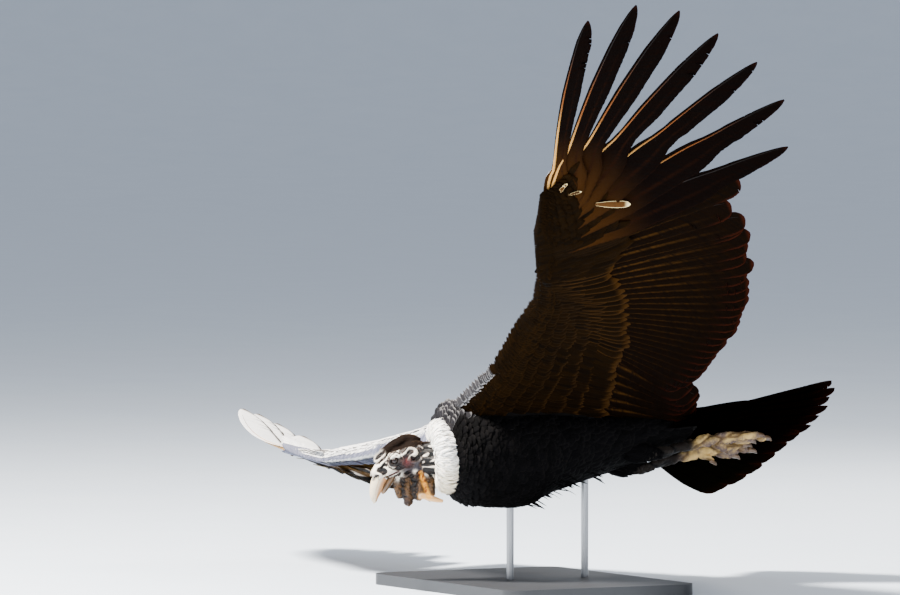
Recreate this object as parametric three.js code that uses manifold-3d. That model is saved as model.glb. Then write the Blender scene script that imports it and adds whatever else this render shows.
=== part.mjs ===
// Andean condor, adult male, gliding: a still, life-size display model on a flat base with two rods.
// Millimetres, +Z up. The origin is the centre of the base's underside.
// The bird is modelled level, heading along -Y with its left side at +X, and a group then banks it.

import * as THREE from 'three';
import { mergeVertices } from 'three/addons/utils/BufferGeometryUtils.js';
import Module from 'manifold-3d';

const wasm = await Module();
wasm.setup();

const DEG = Math.PI / 180;
const GAP = 0.3; // between touching nodes

// How the bird is held over its base.
const BIRD = { bank: 25.7 * DEG, pitch: 0.9 * DEG, height: 300, x: 16, y: 76 };
const BASE = { width: 640, depth: 460, thickness: 24, corner: 40 };
const ROD = { radius: 8, sunk: 38, front: [16, -64], rear: [16, 120] };

// Trunk sections from the neck to the tail: y, height of the axis, half width, reach above and below.
const TRUNK = [
  { y: -300, axis: 0, half: 40, up: 66, down: 40 },
  { y: -288, axis: 0, half: 80, up: 106, down: 68 },
  { y: -266, axis: 0, half: 100, up: 114, down: 98 },
  { y: -236, axis: 0, half: 112, up: 114, down: 110 },
  { y: -190, axis: 0, half: 118, up: 110, down: 118 },
  { y: -128, axis: 0, half: 121, up: 102, down: 119 },
  { y: -60, axis: 2, half: 116, up: 92, down: 98 },
  { y: 0, axis: 5, half: 106, up: 80, down: 83 },
  { y: 80, axis: 10, half: 92, up: 66, down: 67 },
  { y: 160, axis: 18, half: 78, up: 58, down: 52 },
  { y: 245, axis: 26, half: 64, up: 48, down: 38 },
];
const TRUNK_SIDES = 20;

// Wings: one skeleton, posed a little differently on each side. Angles are in degrees.
const SHOULDER = new THREE.Vector3(90, -150, 50);
const ARM = { span: 520, humerus: 285 };
const HAND = 235;
const LEFT_WING = {
  armRise: 12.6, armSweep: 18, armTwist: 1.6, handRise: 18.7, handSweep: 15.6, handTwist: 18,
  inner: 11.5, outer: 88, spread: 1.09, lift: 0, wristFan: 38, elbowFan: -32,
};
const RIGHT_WING = {
  armRise: 20, armSweep: 14.8, armTwist: 4, handRise: 29.5, handSweep: -9, handTwist: 12,
  inner: 27, outer: 88.7, spread: 0.8, lift: 7, wristFan: 16, elbowFan: -26,
};
const PRIMARY_LENGTH = [428, 404, 436, 552, 602, 616, 614, 614, 580, 500];
const PRIMARY_TURN = [10.4, 7.2, 4.2, -2.4, -1, 0, 0.7, 0.3, -0.9, -1.2]; // degrees off an even fan
const PRIMARIES = PRIMARY_LENGTH.length;
const FIRST_FINGER = 3; // the primaries from here outward stand apart
const CAMBER = -0.1; // bow of the inner feathers, hollow side down
const SECONDARIES = 12;
const SECONDARY_LENGTH = { wrist: 440, elbow: 352 };
const TERTIALS = 4;
const TERTIAL_LENGTH = { elbow: 366, trunk: 300 };
const FLIGHT_WIDTH = { tertial: 76, secondary: 66, finger: 76 };
const COVERTS = { arm: 7, armWidth: 58, hand: 4, handWidth: 66, above: 165, below: 150 };
const ALULA = { feathers: 3, length: 150, shorter: 24, width: 26 };
const VANE_TILT = 9; // degrees, so that each feather's front edge lies over its neighbour

// Outlines of the vanes: breadth as a share of the full width, at places from root to tip.
const OUTLINES = {
  secondary: [[0, 0.25], [0.3, 0.9], [0.8, 1], [1, 0.42]],
  covert: [[0, 0.5], [0.6, 1], [1, 0.3]],
  rectrix: [[0, 0.25], [0.25, 0.7], [0.65, 1], [0.93, 0.9], [1, 0.4]],
  lock: [[0, 0.7], [0.55, 1], [1, 0.12]],
};

// A finger's outline narrows past its notch, which lies further out on the inner fingers.
function fingerOutline(notch) {
  return [[0, 0.2], [notch * 0.45, 1], [notch, 0.92], [notch + 0.14, 0.56], [0.86, 0.44], [1, 0.08]];
}

// Tail: twelve feathers spread from one root, all turned a little to the bird's right.
const TAIL = {
  root: 246, height: 34, length: 372, shorter: 30, fan: 34, turn: 4, lift: 1.5, twist: -3.2,
  feathers: 12, coverts: 6, spacing: 72,
};

// Head: level from side to side, turned to the bird's right and looking down.
const HEAD = { turn: -28 * DEG, down: 40 * DEG, eye: new THREE.Vector3(-60, -386, -15) };
const NECK = { start: new THREE.Vector3(0, -270, 4), fold: 3.5 };
// Collar: a ring round the neck. Its locks bend over it, each tier starting further round, in degrees.
const RUFF = {
  forward: 14, ring: 49, tube: 17, reach: 32, tiers: 3, locks: 9, width: 54, start: -100, step: 46, bend: 86,
};

// Head sections: place forward of the eyes and above them, lean of the section in degrees, half width,
// and reach up and down.
const SKULL = [
  { forward: -46, above: -30, lean: 44, half: 33, up: 34, down: 34 },
  { forward: -36, above: -17, lean: 34, half: 36, up: 37, down: 35 },
  { forward: -20, above: -8, lean: 14, half: 35, up: 33, down: 34 },
  { forward: -6, above: -4, lean: 4, half: 30, up: 30, down: 34 },
  { forward: 8, above: -2, lean: 0, half: 26, up: 27, down: 33 },
  { forward: 22, above: -1, lean: 0, half: 22, up: 25, down: 29 },
  { forward: 36, above: 0, lean: -6, half: 17, up: 20, down: 24 },
];
const COMB = [
  { forward: 34, above: 24, lean: -24, half: 5, up: 5, down: 4 },
  { forward: 26, above: 26, lean: -14, half: 10, up: 9, down: 9 },
  { forward: 12, above: 26, lean: -6, half: 11, up: 12, down: 13 },
  { forward: 2, above: 25, lean: 0, half: 15, up: 14, down: 16 },
  { forward: -14, above: 23, lean: 5, half: 14, up: 16, down: 15 },
  { forward: -28, above: 21, lean: 14, half: 19, up: 16, down: 17 },
  { forward: -42, above: 16, lean: 28, half: 16, up: 17, down: 14 },
  { forward: -56, above: 8, lean: 48, half: 14, up: 13, down: 10 },
  { forward: -67, above: -1, lean: 70, half: 5, up: 5, down: 5 },
];
const BEAK_UPPER = [
  { forward: 36.3, above: 6, lean: 0, half: 17, up: 16, down: 8 },
  { forward: 56, above: 3, lean: -14, half: 14, up: 14, down: 10 },
  { forward: 72, above: -6, lean: -34, half: 12, up: 14, down: 10 },
  { forward: 85, above: -22, lean: -62, half: 8, up: 9, down: 8 },
  { forward: 90, above: -38, lean: -86, half: 3, up: 4, down: 4 },
];
const BEAK_LOWER = [
  { forward: 30, above: -18, lean: 0, half: 13, up: 8, down: 8 },
  { forward: 50, above: -19, lean: -8, half: 11, up: 7, down: 8 },
  { forward: 66, above: -24, lean: -16, half: 7, up: 5, down: 6 },
  { forward: 73, above: -27, lean: -20, half: 3, up: 2, down: 3 },
];
// Hanging skin of the throat, drawn with the head level: place behind the eyes, top, bottom, half width.
const WATTLE = [
  { behind: -5, top: -36, bottom: -65, half: 7 },
  { behind: 4, top: -30, bottom: -80, half: 12 },
  { behind: 14, top: -26, bottom: -84, half: 9 },
  { behind: 26, top: -24, bottom: -92, half: 14 },
  { behind: 38, top: -22, bottom: -86, half: 10 },
  { behind: 50, top: -20, bottom: -86, half: 17 },
  { behind: 62, top: -20, bottom: -80, half: 12 },
  { behind: 76, top: -32, bottom: -79, half: 16 },
  { behind: 84, top: -44, bottom: -74, half: 8 },
];
const WATTLE_SIDES = 8;
const WATTLE_BULB = { radius: 10, behind: 26, above: -88 };
const EYE = { radius: 8.5, side: 24, forward: 2, above: 2 };
const LID = { ring: 9.6, tube: 2.4, stretch: 1.3, out: 4.5 };
const EAR = { forward: -31, above: -18, side: 34, radius: 8, rim: 2 };
const NOSTRIL = { forward: 29, above: 9, length: 13, height: 5 };
const MOUTH = { corner: 10, above: -15, opening: 1.6 };

const LOCK = { tilt: 9, thick: 2.4 };

// Legs, drawn level: places to the side, rearward and up. The toes are given with their thickness.
const LEG = {
  hip: [38, 130, -24], heel: [38, 196, -34], ball: [34, 336, -6], shank: [20, 13, 11, 14], claw: 28,
  toes: [[10, 452, -2, 9], [35, 476, -6, 9.5], [60, 446, -8, 9], [30, 372, -36, 7]],
};

const black = { color: 0x15130f, roughness: 0.75 };
const white = { color: 0xece6da, roughness: 0.9 };
const skin = { color: 0x4a3632, roughness: 0.6 };
const horn = { color: 0xe4d8bc, roughness: 0.4 };
const eyeColour = { color: 0x5a3517, roughness: 0.1 };
const standColour = { color: 0x2b2b2d, roughness: 0.5 };

// Vectors and frames

function vec(x, y, z) {
  return new THREE.Vector3(x, y, z);
}

function along(start, direction, distance) {
  return start.clone().addScaledVector(direction, distance);
}

function mix(a, b, t) {
  return a.clone().lerp(b, t);
}

function lerp(a, b, t) {
  return a + (b - a) * t;
}

// Solids

function meshGeometry(points, faces) {
  const geometry = new THREE.BufferGeometry();
  const numbers = points.flatMap((point) => point.toArray());
  geometry.setAttribute('position', new THREE.Float32BufferAttribute(numbers, 3));
  geometry.setIndex(faces.flat());
  return geometry;
}

// Volume enclosed by a triangle list, negative where the faces point in.
function signedVolume(points, faces) {
  return faces.reduce((sum, [a, b, c]) => sum + points[a].dot(points[b].clone().cross(points[c])) / 6, 0);
}

// Closed surface through a row of rings with equal point counts, with a flat cap on each end.
function loft(rings) {
  const count = rings[0].length;
  const points = rings.flat();
  const faces = [];
  for (let r = 0; r + 1 < rings.length; r += 1) {
    for (let k = 0; k < count; k += 1) {
      const next = (k + 1) % count;
      const a = r * count + k;
      const b = r * count + next;
      const c = a + count;
      const d = b + count;
      faces.push([a, b, d], [a, d, c]);
    }
  }
  const last = (rings.length - 1) * count;
  for (let k = 1; k + 1 < count; k += 1) faces.push([0, k + 1, k], [last, last + k, last + k + 1]);
  if (signedVolume(points, faces) < 0) faces.forEach((face) => face.reverse());
  return meshGeometry(points, faces);
}

function toSolid(geometry) {
  const bare = geometry.clone();
  bare.deleteAttribute('normal');
  bare.deleteAttribute('uv');
  const merged = mergeVertices(bare, 1e-4);
  return new wasm.Manifold(new wasm.Mesh({
    numProp: 3,
    vertProperties: merged.attributes.position.array,
    triVerts: Uint32Array.from(merged.index.array),
  }));
}

function toGeometry(solid) {
  const mesh = solid.getMesh();
  const geometry = new THREE.BufferGeometry();
  geometry.setAttribute('position', new THREE.BufferAttribute(Float32Array.from(mesh.vertProperties), 3));
  geometry.setIndex(Array.from(mesh.triVerts));
  return geometry;
}

// Joins pieces, cuts away what is in their room, and keeps the largest closed surface.
function fuse(pieces, cuts = []) {
  const joined = pieces.map(toSolid).reduce((sum, piece) => sum.add(piece));
  const cut = cuts.map(toSolid).reduce((rest, cutter) => rest.subtract(cutter), joined);
  const bodies = cut.decompose();
  bodies.sort((a, b) => b.volume() - a.volume());
  return toGeometry(bodies[0]);
}

// Rings

// Ring round a centre, flattened or stretched up and down by different amounts.
function ovalRing(centre, side, top, half, up, down, count, phase = 0) {
  return Array.from({ length: count }, (_, k) => {
    const angle = ((k + phase) / count) * Math.PI * 2;
    const height = Math.sin(angle) >= 0 ? up : down;
    return along(along(centre, side, Math.cos(angle) * half), top, Math.sin(angle) * height);
  });
}

// Tube along points, with a radius at each; its rings stay square to the run.
function tube(points, radii, count) {
  const curve = new THREE.CatmullRomCurve3(points);
  const frames = points.map((point, i) => {
    const tangent = curve.getTangent(i / (points.length - 1));
    const side = vec(0, 0, 1).cross(tangent).normalize();
    return { point, side, top: tangent.clone().cross(side) };
  });
  return loft(frames.map(({ point, side, top }, i) => (
    ovalRing(point, side, top, radii[i], radii[i], radii[i], count)
  )));
}

// Tube with an even number of sides, every second one drawn in, so that folds run along it.
function foldedTube(points, radii, count, fold, grow) {
  const curve = new THREE.CatmullRomCurve3(points);
  return loft(points.map((point, i) => {
    const tangent = curve.getTangent(i / (points.length - 1));
    const side = vec(0, 0, 1).cross(tangent).normalize();
    const top = tangent.clone().cross(side);
    return Array.from({ length: count }, (_, k) => {
      const angle = (k / count) * Math.PI * 2;
      const radius = radii[i] + grow - (k % 2) * fold;
      return along(along(point, side, Math.cos(angle) * radius), top, Math.sin(angle) * radius);
    });
  }));
}

// Repeatable draws between two values.
let seed = 7;
function random(low, high) {
  seed = (seed * 16807) % 2147483647;
  return lerp(low, high, seed / 2147483647);
}

// Trunk

function trunk(grow = 0) {
  const side = vec(1, 0, 0);
  const top = vec(0, 0, 1);
  return loft(TRUNK.map((row) => ovalRing(
    vec(0, row.y, row.axis), side, top, row.half + grow, row.up + grow, row.down + grow, TRUNK_SIDES,
  )));
}

// Feathers

// Directions across a vane and out of its upper face, tilted by degrees about its shaft.
function tilted(normal, lead, tilt) {
  const angle = tilt * DEG;
  const across = lead.clone().multiplyScalar(Math.cos(angle)).addScaledVector(normal, Math.sin(angle));
  const upward = normal.clone().multiplyScalar(Math.cos(angle)).addScaledVector(lead, -Math.sin(angle));
  return { across, upward };
}

// One vane: a thin blade with a raised shaft, split alike on both faces. lead is the side of its
// leading edge. It bows down the normal and towards the lead between root and tip.
function vane({ root, direction, normal, lead, length, width, outline, tilt = VANE_TILT, rise = 0.1,
  sweep = 0.06, share = 0.34, thick = 2.4, edge = 0.8 }) {
  const { across, upward } = tilted(normal, lead, tilt);
  return loft(outline.map(([t, breadth]) => {
    const bow = t * (1 - t) * length;
    const shaft = along(root, direction, t * length).addScaledVector(normal, -rise * bow)
      .addScaledVector(lead, sweep * bow);
    const front = along(shaft, across, breadth * width * share);
    const back = along(shaft, across, breadth * width * (share - 1));
    const ridge = lerp(thick, edge, t) / 2;
    return [
      along(front, upward, edge / 2), along(shaft, upward, ridge), along(back, upward, edge / 2),
      along(back, upward, -edge / 2), along(shaft, upward, -ridge), along(front, upward, -edge / 2),
    ];
  }));
}

// The same with flat faces and no ridge, for the smaller vanes.
function flatVane({ root, direction, normal, lead, length, width, outline, tilt = VANE_TILT, rise = 0.1,
  share = 0.4, thick = 1.2 }) {
  const { across, upward } = tilted(normal, lead, tilt);
  return loft(outline.map(([t, breadth]) => {
    const middle = along(root, direction, t * length).addScaledVector(normal, -rise * t * (1 - t) * length);
    const front = along(middle, across, breadth * width * share);
    const back = along(middle, across, breadth * width * (share - 1));
    return [
      along(front, upward, thick / 2), along(back, upward, thick / 2),
      along(back, upward, -thick / 2), along(front, upward, -thick / 2),
    ];
  }));
}

// Wings

// Directions of a wing segment: outward, rearward and upward, raised and then twisted.
function segmentFrame(rise, twist) {
  const out = vec(Math.cos(rise), 0, Math.sin(rise));
  const flatUp = vec(-Math.sin(rise), 0, Math.cos(rise));
  const rear = vec(0, Math.cos(twist), 0).addScaledVector(flatUp, -Math.sin(twist));
  const up = flatUp.multiplyScalar(Math.cos(twist)).addScaledVector(vec(0, 1, 0), Math.sin(twist));
  return { out, rear, up };
}

// Joints and directions of a wing, worked out as a left wing.
function skeleton(pose) {
  const arm = segmentFrame(pose.armRise * DEG, pose.armTwist * DEG);
  const hand = segmentFrame(pose.handRise * DEG, pose.handTwist * DEG);
  const reach = (frame, start, length, sweep) => along(start, frame.out, length * Math.cos(sweep))
    .addScaledVector(frame.rear, -length * Math.sin(sweep));
  const wrist = reach(arm, SHOULDER, ARM.span, pose.armSweep * DEG);
  const tip = reach(hand, wrist, HAND, pose.handSweep * DEG);
  const elbow = reach(arm, SHOULDER, ARM.humerus, pose.armSweep * DEG - 0.5);
  return { arm, hand, wrist, tip, elbow };
}

// Frame blended between the arm (0) and the hand (1).
function blendFrame(bones, t) {
  const out = mix(bones.arm.out, bones.hand.out, t).normalize();
  const rear = mix(bones.arm.rear, bones.hand.rear, t).normalize();
  const up = mix(bones.arm.up, bones.hand.up, t).normalize();
  return { out, rear, up };
}

function fanned(frame, angle) {
  return frame.out.clone().multiplyScalar(Math.sin(angle)).addScaledVector(frame.rear, Math.cos(angle));
}

// Root, direction and normal of primary i of ten, counted from the wrist outward. The pose's lift
// bends the outer ones up and lets the inner ones hang.
function primaryPlace(pose, bones, i) {
  const t = i / (PRIMARIES - 1);
  const root = mix(bones.wrist, bones.tip, 0.1 + 0.9 * t).addScaledVector(bones.hand.rear, 20);
  const turn = lerp(PRIMARY_TURN[Math.floor(i)], PRIMARY_TURN[Math.ceil(i)], i % 1);
  const angle = (lerp(pose.inner, pose.outer, t ** pose.spread) + turn + pose.handSweep) * DEG;
  const lift = lerp(-pose.lift, pose.lift, t) * DEG;
  const direction = fanned(bones.hand, angle).multiplyScalar(Math.cos(lift))
    .addScaledVector(bones.hand.up, Math.sin(lift));
  return { root, direction, normal: bones.hand.up };
}

// The same for a feather along the forearm, t from the wrist (0) to the elbow (1).
function secondaryPlace(pose, bones, t) {
  const frame = blendFrame(bones, 1 - t);
  const root = mix(bones.wrist, bones.elbow, t).addScaledVector(frame.rear, 15);
  return { root, direction: fanned(frame, lerp(pose.wristFan, pose.elbowFan, t) * DEG), normal: frame.up };
}

// The same for the innermost feathers, t from the elbow (0) to the trunk (1).
function tertialPlace(pose, bones, t) {
  const innermost = along(SHOULDER, bones.arm.rear, 130).addScaledVector(bones.arm.out, 10);
  const root = mix(bones.elbow, innermost, t).addScaledVector(bones.arm.rear, 15);
  return { root, direction: fanned(bones.arm, lerp(pose.elbowFan, -8, t) * DEG), normal: bones.arm.up };
}

// Flesh of the wing with its smallest feathers: front edge, rear edge and thickness at each station.
function wingCore(pose, bones) {
  const frontRoot = along(SHOULDER, bones.arm.rear, -126).addScaledVector(bones.arm.up, 26);
  const rearRoot = along(SHOULDER, bones.arm.rear, 175);
  const frontWrist = along(bones.wrist, bones.arm.rear, -3);
  const rearElbow = along(bones.elbow, bones.arm.rear, 62);
  const rearWrist = along(bones.wrist, bones.hand.rear, 62);
  const inward = bones.arm.out.clone().multiplyScalar(-70);
  const stations = [
    { front: along(frontRoot, bones.arm.up, 20).add(inward), rear: rearRoot.clone().add(inward),
      thick: 84, turn: 0 },
    { front: frontRoot, rear: rearRoot, thick: 80, turn: 0 },
    { front: along(mix(frontRoot, frontWrist, 0.3), bones.arm.rear, 33), rear: mix(rearRoot, rearElbow, 0.5),
      thick: 66, turn: 0 },
    { front: along(mix(frontRoot, frontWrist, 0.6), bones.arm.rear, 29), rear: rearElbow, thick: 54, turn: 0 },
    { front: along(mix(frontRoot, frontWrist, 0.82), bones.arm.rear, 27), rear: mix(rearElbow, rearWrist, 0.5),
      thick: 44, turn: 0.4 },
    { front: frontWrist, rear: rearWrist, thick: 36, turn: 0.7 },
    { front: along(mix(bones.wrist, bones.tip, 0.5), bones.hand.rear, -18),
      rear: along(mix(bones.wrist, bones.tip, 0.5), bones.hand.rear, 66), thick: 22, turn: 1 },
    { front: along(bones.tip, bones.hand.rear, -8), rear: along(bones.tip, bones.hand.rear, 52),
      thick: 12, turn: 1 },
  ];
  return loft(stations.map(({ front, rear, thick, turn }) => {
    const { up } = blendFrame(bones, turn);
    const chord = [[0, 0.1], [0.04, 0.44], [0.3, 0.62], [0.65, 0.42], [1, 0.1], [1, -0.1], [0.65, -0.2],
      [0.3, -0.38], [0.06, -0.34]];
    return chord.map(([place, height]) => along(mix(front, rear, place), up, height * thick));
  }));
}

// Flight feathers from the trunk out to the hand.
function flightFeathers(pose, bones) {
  const vanes = [];
  const add = (make, place, shape) => vanes.push(
    make({ ...place, lead: place.direction.clone().cross(place.normal), ...shape }),
  );
  for (let i = 0; i < TERTIALS; i += 1) {
    const t = 1 - i / TERTIALS;
    add(flatVane, tertialPlace(pose, bones, t), {
      length: lerp(TERTIAL_LENGTH.elbow, TERTIAL_LENGTH.trunk, t), width: FLIGHT_WIDTH.tertial,
      outline: OUTLINES.secondary, rise: CAMBER,
    });
  }
  for (let i = 0; i < SECONDARIES; i += 1) {
    const t = 1 - i / (SECONDARIES - 1);
    add(flatVane, secondaryPlace(pose, bones, t), {
      length: lerp(SECONDARY_LENGTH.wrist, SECONDARY_LENGTH.elbow, t ** 0.7), width: FLIGHT_WIDTH.secondary,
      outline: OUTLINES.secondary, rise: CAMBER,
    });
  }
  PRIMARY_LENGTH.forEach((length, i) => {
    const place = primaryPlace(pose, bones, i);
    if (i < FIRST_FINGER) {
      add(flatVane, place, {
        length, width: FLIGHT_WIDTH.secondary, outline: OUTLINES.secondary, rise: CAMBER,
      });
      return;
    }
    const out = (i - FIRST_FINGER) / (PRIMARIES - 1 - FIRST_FINGER);
    add(vane, place, {
      length, width: FLIGHT_WIDTH.finger, outline: fingerOutline(lerp(0.58, 0.3, out)),
      sweep: 0.14, rise: lerp(0.1, 0.16, out),
    });
  });
  return vanes;
}

// One tier of coverts over (side 1) or under (side -1) the flight feathers, bulging away from them.
function covertTier(pose, bones, side, reach) {
  const vanes = [];
  const add = (place, length, width) => vanes.push(flatVane({
    root: along(place.root, place.normal, side * 6).addScaledVector(place.direction, -8),
    direction: along(place.direction, place.normal, side * 0.03).normalize(),
    normal: place.normal, lead: place.direction.clone().cross(place.normal),
    length, width, outline: OUTLINES.covert, rise: CAMBER - side * 0.06,
  }));
  for (let i = 0; i < COVERTS.arm; i += 1) {
    add(secondaryPlace(pose, bones, 1 - (i + 0.5) / COVERTS.arm), reach, COVERTS.armWidth);
  }
  for (let i = 0; i < COVERTS.hand; i += 1) {
    const place = primaryPlace(pose, bones, (i + 0.5) * (PRIMARIES - 1) / COVERTS.hand);
    add(place, reach * 0.95, COVERTS.handWidth);
  }
  return vanes;
}

// The thumb's feathers, along the front edge of the hand.
function alula(bones) {
  return Array.from({ length: ALULA.feathers }, (_, i) => {
    const root = along(bones.wrist, bones.hand.rear, 4 - i * 4).addScaledVector(bones.hand.up, 4 + i * 3)
      .addScaledVector(bones.hand.out, 12 - i * 5);
    const direction = fanned(bones.hand, (84 - i * 2) * DEG);
    return flatVane({ root, direction, normal: bones.hand.up, lead: direction.clone().cross(bones.hand.up),
      length: ALULA.length - i * ALULA.shorter, width: ALULA.width, outline: OUTLINES.covert });
  });
}

// The same piece, or its mirror image with its faces still outward.
function mirror(geometry, side) {
  if (side > 0) return geometry;
  const flipped = geometry.clone().scale(-1, 1, 1);
  const index = flipped.index.array;
  for (let i = 0; i < index.length; i += 3) [index[i], index[i + 1]] = [index[i + 1], index[i]];
  return flipped;
}

function wing(pose, mirrored) {
  const bones = skeleton(pose);
  const pieces = [
    wingCore(pose, bones),
    ...flightFeathers(pose, bones),
    ...covertTier(pose, bones, 1, COVERTS.above),
    ...covertTier(pose, bones, -1, COVERTS.below),
    ...alula(bones),
  ];
  const side = mirrored ? -1 : 1;
  return fuse(pieces.map((piece) => mirror(piece, side)), [trunk(GAP), ...tailForms(GAP)]);
}

// Tail

// Places a piece that was drawn flat, root at the origin and pointing rearward, on the trunk's end.
const tailPlace = new THREE.Matrix4().makeRotationY(TAIL.twist * DEG)
  .multiply(new THREE.Matrix4().makeRotationX(-TAIL.lift * DEG))
  .multiply(new THREE.Matrix4().makeRotationZ(TAIL.turn * DEG))
  .setPosition(0, TAIL.root, TAIL.height);

// Base of the tail, from the trunk's end section to where the feathers stand free.
function tailCore(grow = 0) {
  const last = TRUNK[TRUNK.length - 1];
  const rows = [
    { y: last.y + GAP - grow, half: last.half, up: last.up, down: last.down },
    { y: last.y + 45, half: last.half * 1.1, up: last.up * 0.72, down: last.down * 0.56 },
    { y: last.y + 95, half: last.half * 1.22, up: 18, down: 4 },
  ];
  return loft(rows.map((row) => ovalRing(vec(0, row.y, last.axis), vec(1, 0, 0), vec(0, 0, 1),
    row.half + grow, row.up + grow, row.down + grow, TRUNK_SIDES)));
}

function tailVane(make, t, length, width, height, outline, grow = 0) {
  const angle = t * TAIL.fan * DEG;
  const direction = vec(Math.sin(angle), Math.cos(angle), 0);
  // The middle feathers lie on top, and each side steps down towards the edge.
  const lead = vec(direction.y, -direction.x, 0).multiplyScalar(t < 0 ? -1 : 1);
  return make({
    root: vec(t * TAIL.spacing, 0, height - Math.abs(t) * 9), direction, normal: vec(0, 0, 1), lead,
    length, width, outline, tilt: -5, rise: 0.05, thick: 1.6 + grow * 2,
  }).applyMatrix4(tailPlace);
}

function rectrices(grow = 0) {
  return Array.from({ length: TAIL.feathers }, (_, i) => {
    const t = (i / (TAIL.feathers - 1)) * 2 - 1;
    return tailVane(vane, t, TAIL.length - TAIL.shorter * t * t, 62, 4, OUTLINES.rectrix, grow);
  });
}

function tailCoverts(side, grow = 0) {
  return Array.from({ length: TAIL.coverts }, (_, i) => {
    const t = ((i / (TAIL.coverts - 1)) * 2 - 1) * 0.82;
    return tailVane(flatVane, t, 180, 68, side > 0 ? 20 : -5, OUTLINES.covert, grow);
  });
}

function tailForms(grow = 0) {
  return [tailCore(grow), ...rectrices(grow), ...tailCoverts(1, grow), ...tailCoverts(-1, grow)];
}

function tail() {
  return fuse(tailForms(), [trunk(GAP)]);
}

// Head and neck

// Places a piece that was drawn level at the eyes, front towards -Y, on the turned head.
const birdAngles = new THREE.Euler(BIRD.pitch, -BIRD.bank, 0, 'XYZ');
const birdTurn = new THREE.Matrix4().makeRotationFromEuler(birdAngles);
const headTurn = new THREE.Matrix4().makeRotationZ(HEAD.turn)
  .multiply(new THREE.Matrix4().makeRotationX(HEAD.down));
const headPlace = birdTurn.clone().invert()
  .multiply(new THREE.Matrix4().makeTranslation(HEAD.eye.x, HEAD.eye.y, HEAD.eye.z))
  .multiply(headTurn);

function onHead(geometry) {
  return geometry.applyMatrix4(headPlace);
}

function headSection(row, grow, count) {
  const lean = row.lean * DEG;
  const top = vec(0, Math.sin(lean), Math.cos(lean));
  return ovalRing(vec(0, -row.forward, row.above), vec(1, 0, 0), top,
    row.half + grow, row.up + grow, row.down + grow, count);
}

function skull(grow = 0) {
  return loft(SKULL.map((row) => headSection(row, grow, 14)));
}

function eyeball(side, radius) {
  return new THREE.SphereGeometry(radius, 10, 8).translate(side * EYE.side, -EYE.forward, EYE.above);
}

// Ring of lid round an eye, stretched towards the bill.
function lid(side) {
  return new THREE.TorusGeometry(LID.ring, LID.tube, 5, 10).rotateY(Math.PI / 2).scale(1, LID.stretch, 1)
    .translate(side * (EYE.side + LID.out), -EYE.forward, EYE.above);
}

function earPlace(geometry, side) {
  return geometry.rotateY(Math.PI / 2).translate(side * EAR.side, -EAR.forward, EAR.above);
}

function earRim(side) {
  return earPlace(new THREE.TorusGeometry(EAR.radius, EAR.rim, 5, 10), side);
}

function earCup(side) {
  return earPlace(new THREE.SphereGeometry(EAR.radius - EAR.rim / 2, 8, 6), side);
}

// Oval opening that goes through the base of the bill from side to side.
function nostril() {
  return new THREE.CylinderGeometry(NOSTRIL.height / 2, NOSTRIL.height / 2, EYE.side * 3, 8)
    .rotateZ(Math.PI / 2).scale(1, NOSTRIL.length / NOSTRIL.height, 1)
    .translate(0, -NOSTRIL.forward, NOSTRIL.above);
}

// Slit of the mouth, which widens from its corner towards the bill.
function mouth() {
  const front = SKULL[SKULL.length - 1].forward + 4;
  const half = EYE.side * 1.5;
  const slit = (forward, opening) => [[1, 1], [-1, 1], [-1, -1], [1, -1]]
    .map(([x, z]) => vec(x * half, -forward, MOUTH.above + z * opening / 2));
  return loft([slit(MOUTH.corner, MOUTH.opening / 2), slit(front, MOUTH.opening)]);
}

function head() {
  const sides = [-1, 1];
  const forms = [skull(), ...sides.map(lid), ...sides.map(earRim)];
  const sockets = sides.map((side) => eyeball(side, EYE.radius + GAP));
  const cuts = [...sockets, ...sides.map(earCup), nostril(), mouth()];
  return fuse(forms.map(onHead), cuts.map(onHead));
}

function headPiece(rows, cuts, sides = 12) {
  return fuse([onHead(loft(rows.map((row) => headSection(row, 0, sides))))], cuts);
}

function comb() {
  return headPiece(COMB, [onHead(skull(GAP))]);
}

function beakUpper() {
  return headPiece(BEAK_UPPER, [onHead(skull(GAP))]);
}

function beakLower() {
  const upper = BEAK_UPPER.map((row) => headSection(row, GAP, 12));
  return headPiece(BEAK_LOWER, [onHead(skull(GAP)), onHead(loft(upper))]);
}

// Folds of throat skin with a bulb at the lowest point.
function wattleForms(grow = 0) {
  const folds = loft(WATTLE.map(({ behind, top, bottom, half }) => ovalRing(
    vec(0, behind, (top + bottom) / 2), vec(1, 0, 0), vec(0, 0, 1),
    half + grow, (top - bottom) / 2 + grow, (top - bottom) / 2 + grow, WATTLE_SIDES,
  )));
  const bulb = new THREE.SphereGeometry(WATTLE_BULB.radius + grow, 8, 6)
    .translate(0, WATTLE_BULB.behind, WATTLE_BULB.above);
  return [folds, bulb].map((form) => onHead(form.rotateX(-HEAD.down)));
}

function wattle() {
  const beak = BEAK_LOWER.map((row) => headSection(row, GAP, 12));
  return fuse(wattleForms(), [onHead(skull(GAP)), onHead(loft(beak)), neck(GAP), trunk(GAP)]);
}

function neckPath() {
  const base = vec(0, 70, -52).applyMatrix4(headPlace);
  const end = vec(0, 46, -30).applyMatrix4(headPlace);
  return [NECK.start, mix(NECK.start, base, 0.45), mix(NECK.start, base, 0.75), base, end];
}

// Neck with folds that run from the head down to the collar.
function neck(grow = 0) {
  return foldedTube(neckPath(), [46, 42, 40, 38, 34], 18, NECK.fold, grow);
}

function neckNode() {
  return fuse([neck()], [trunk(GAP), onHead(skull(GAP))]);
}

// Directions round the neck at the collar: along it towards the head, and two square to it.
function collarFrame() {
  const [start, next] = neckPath();
  const axis = next.clone().sub(start).normalize();
  const side = vec(0, 0, 1).cross(axis).normalize();
  return { centre: along(next, axis, RUFF.forward), axis, side, top: axis.clone().cross(side) };
}

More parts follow.
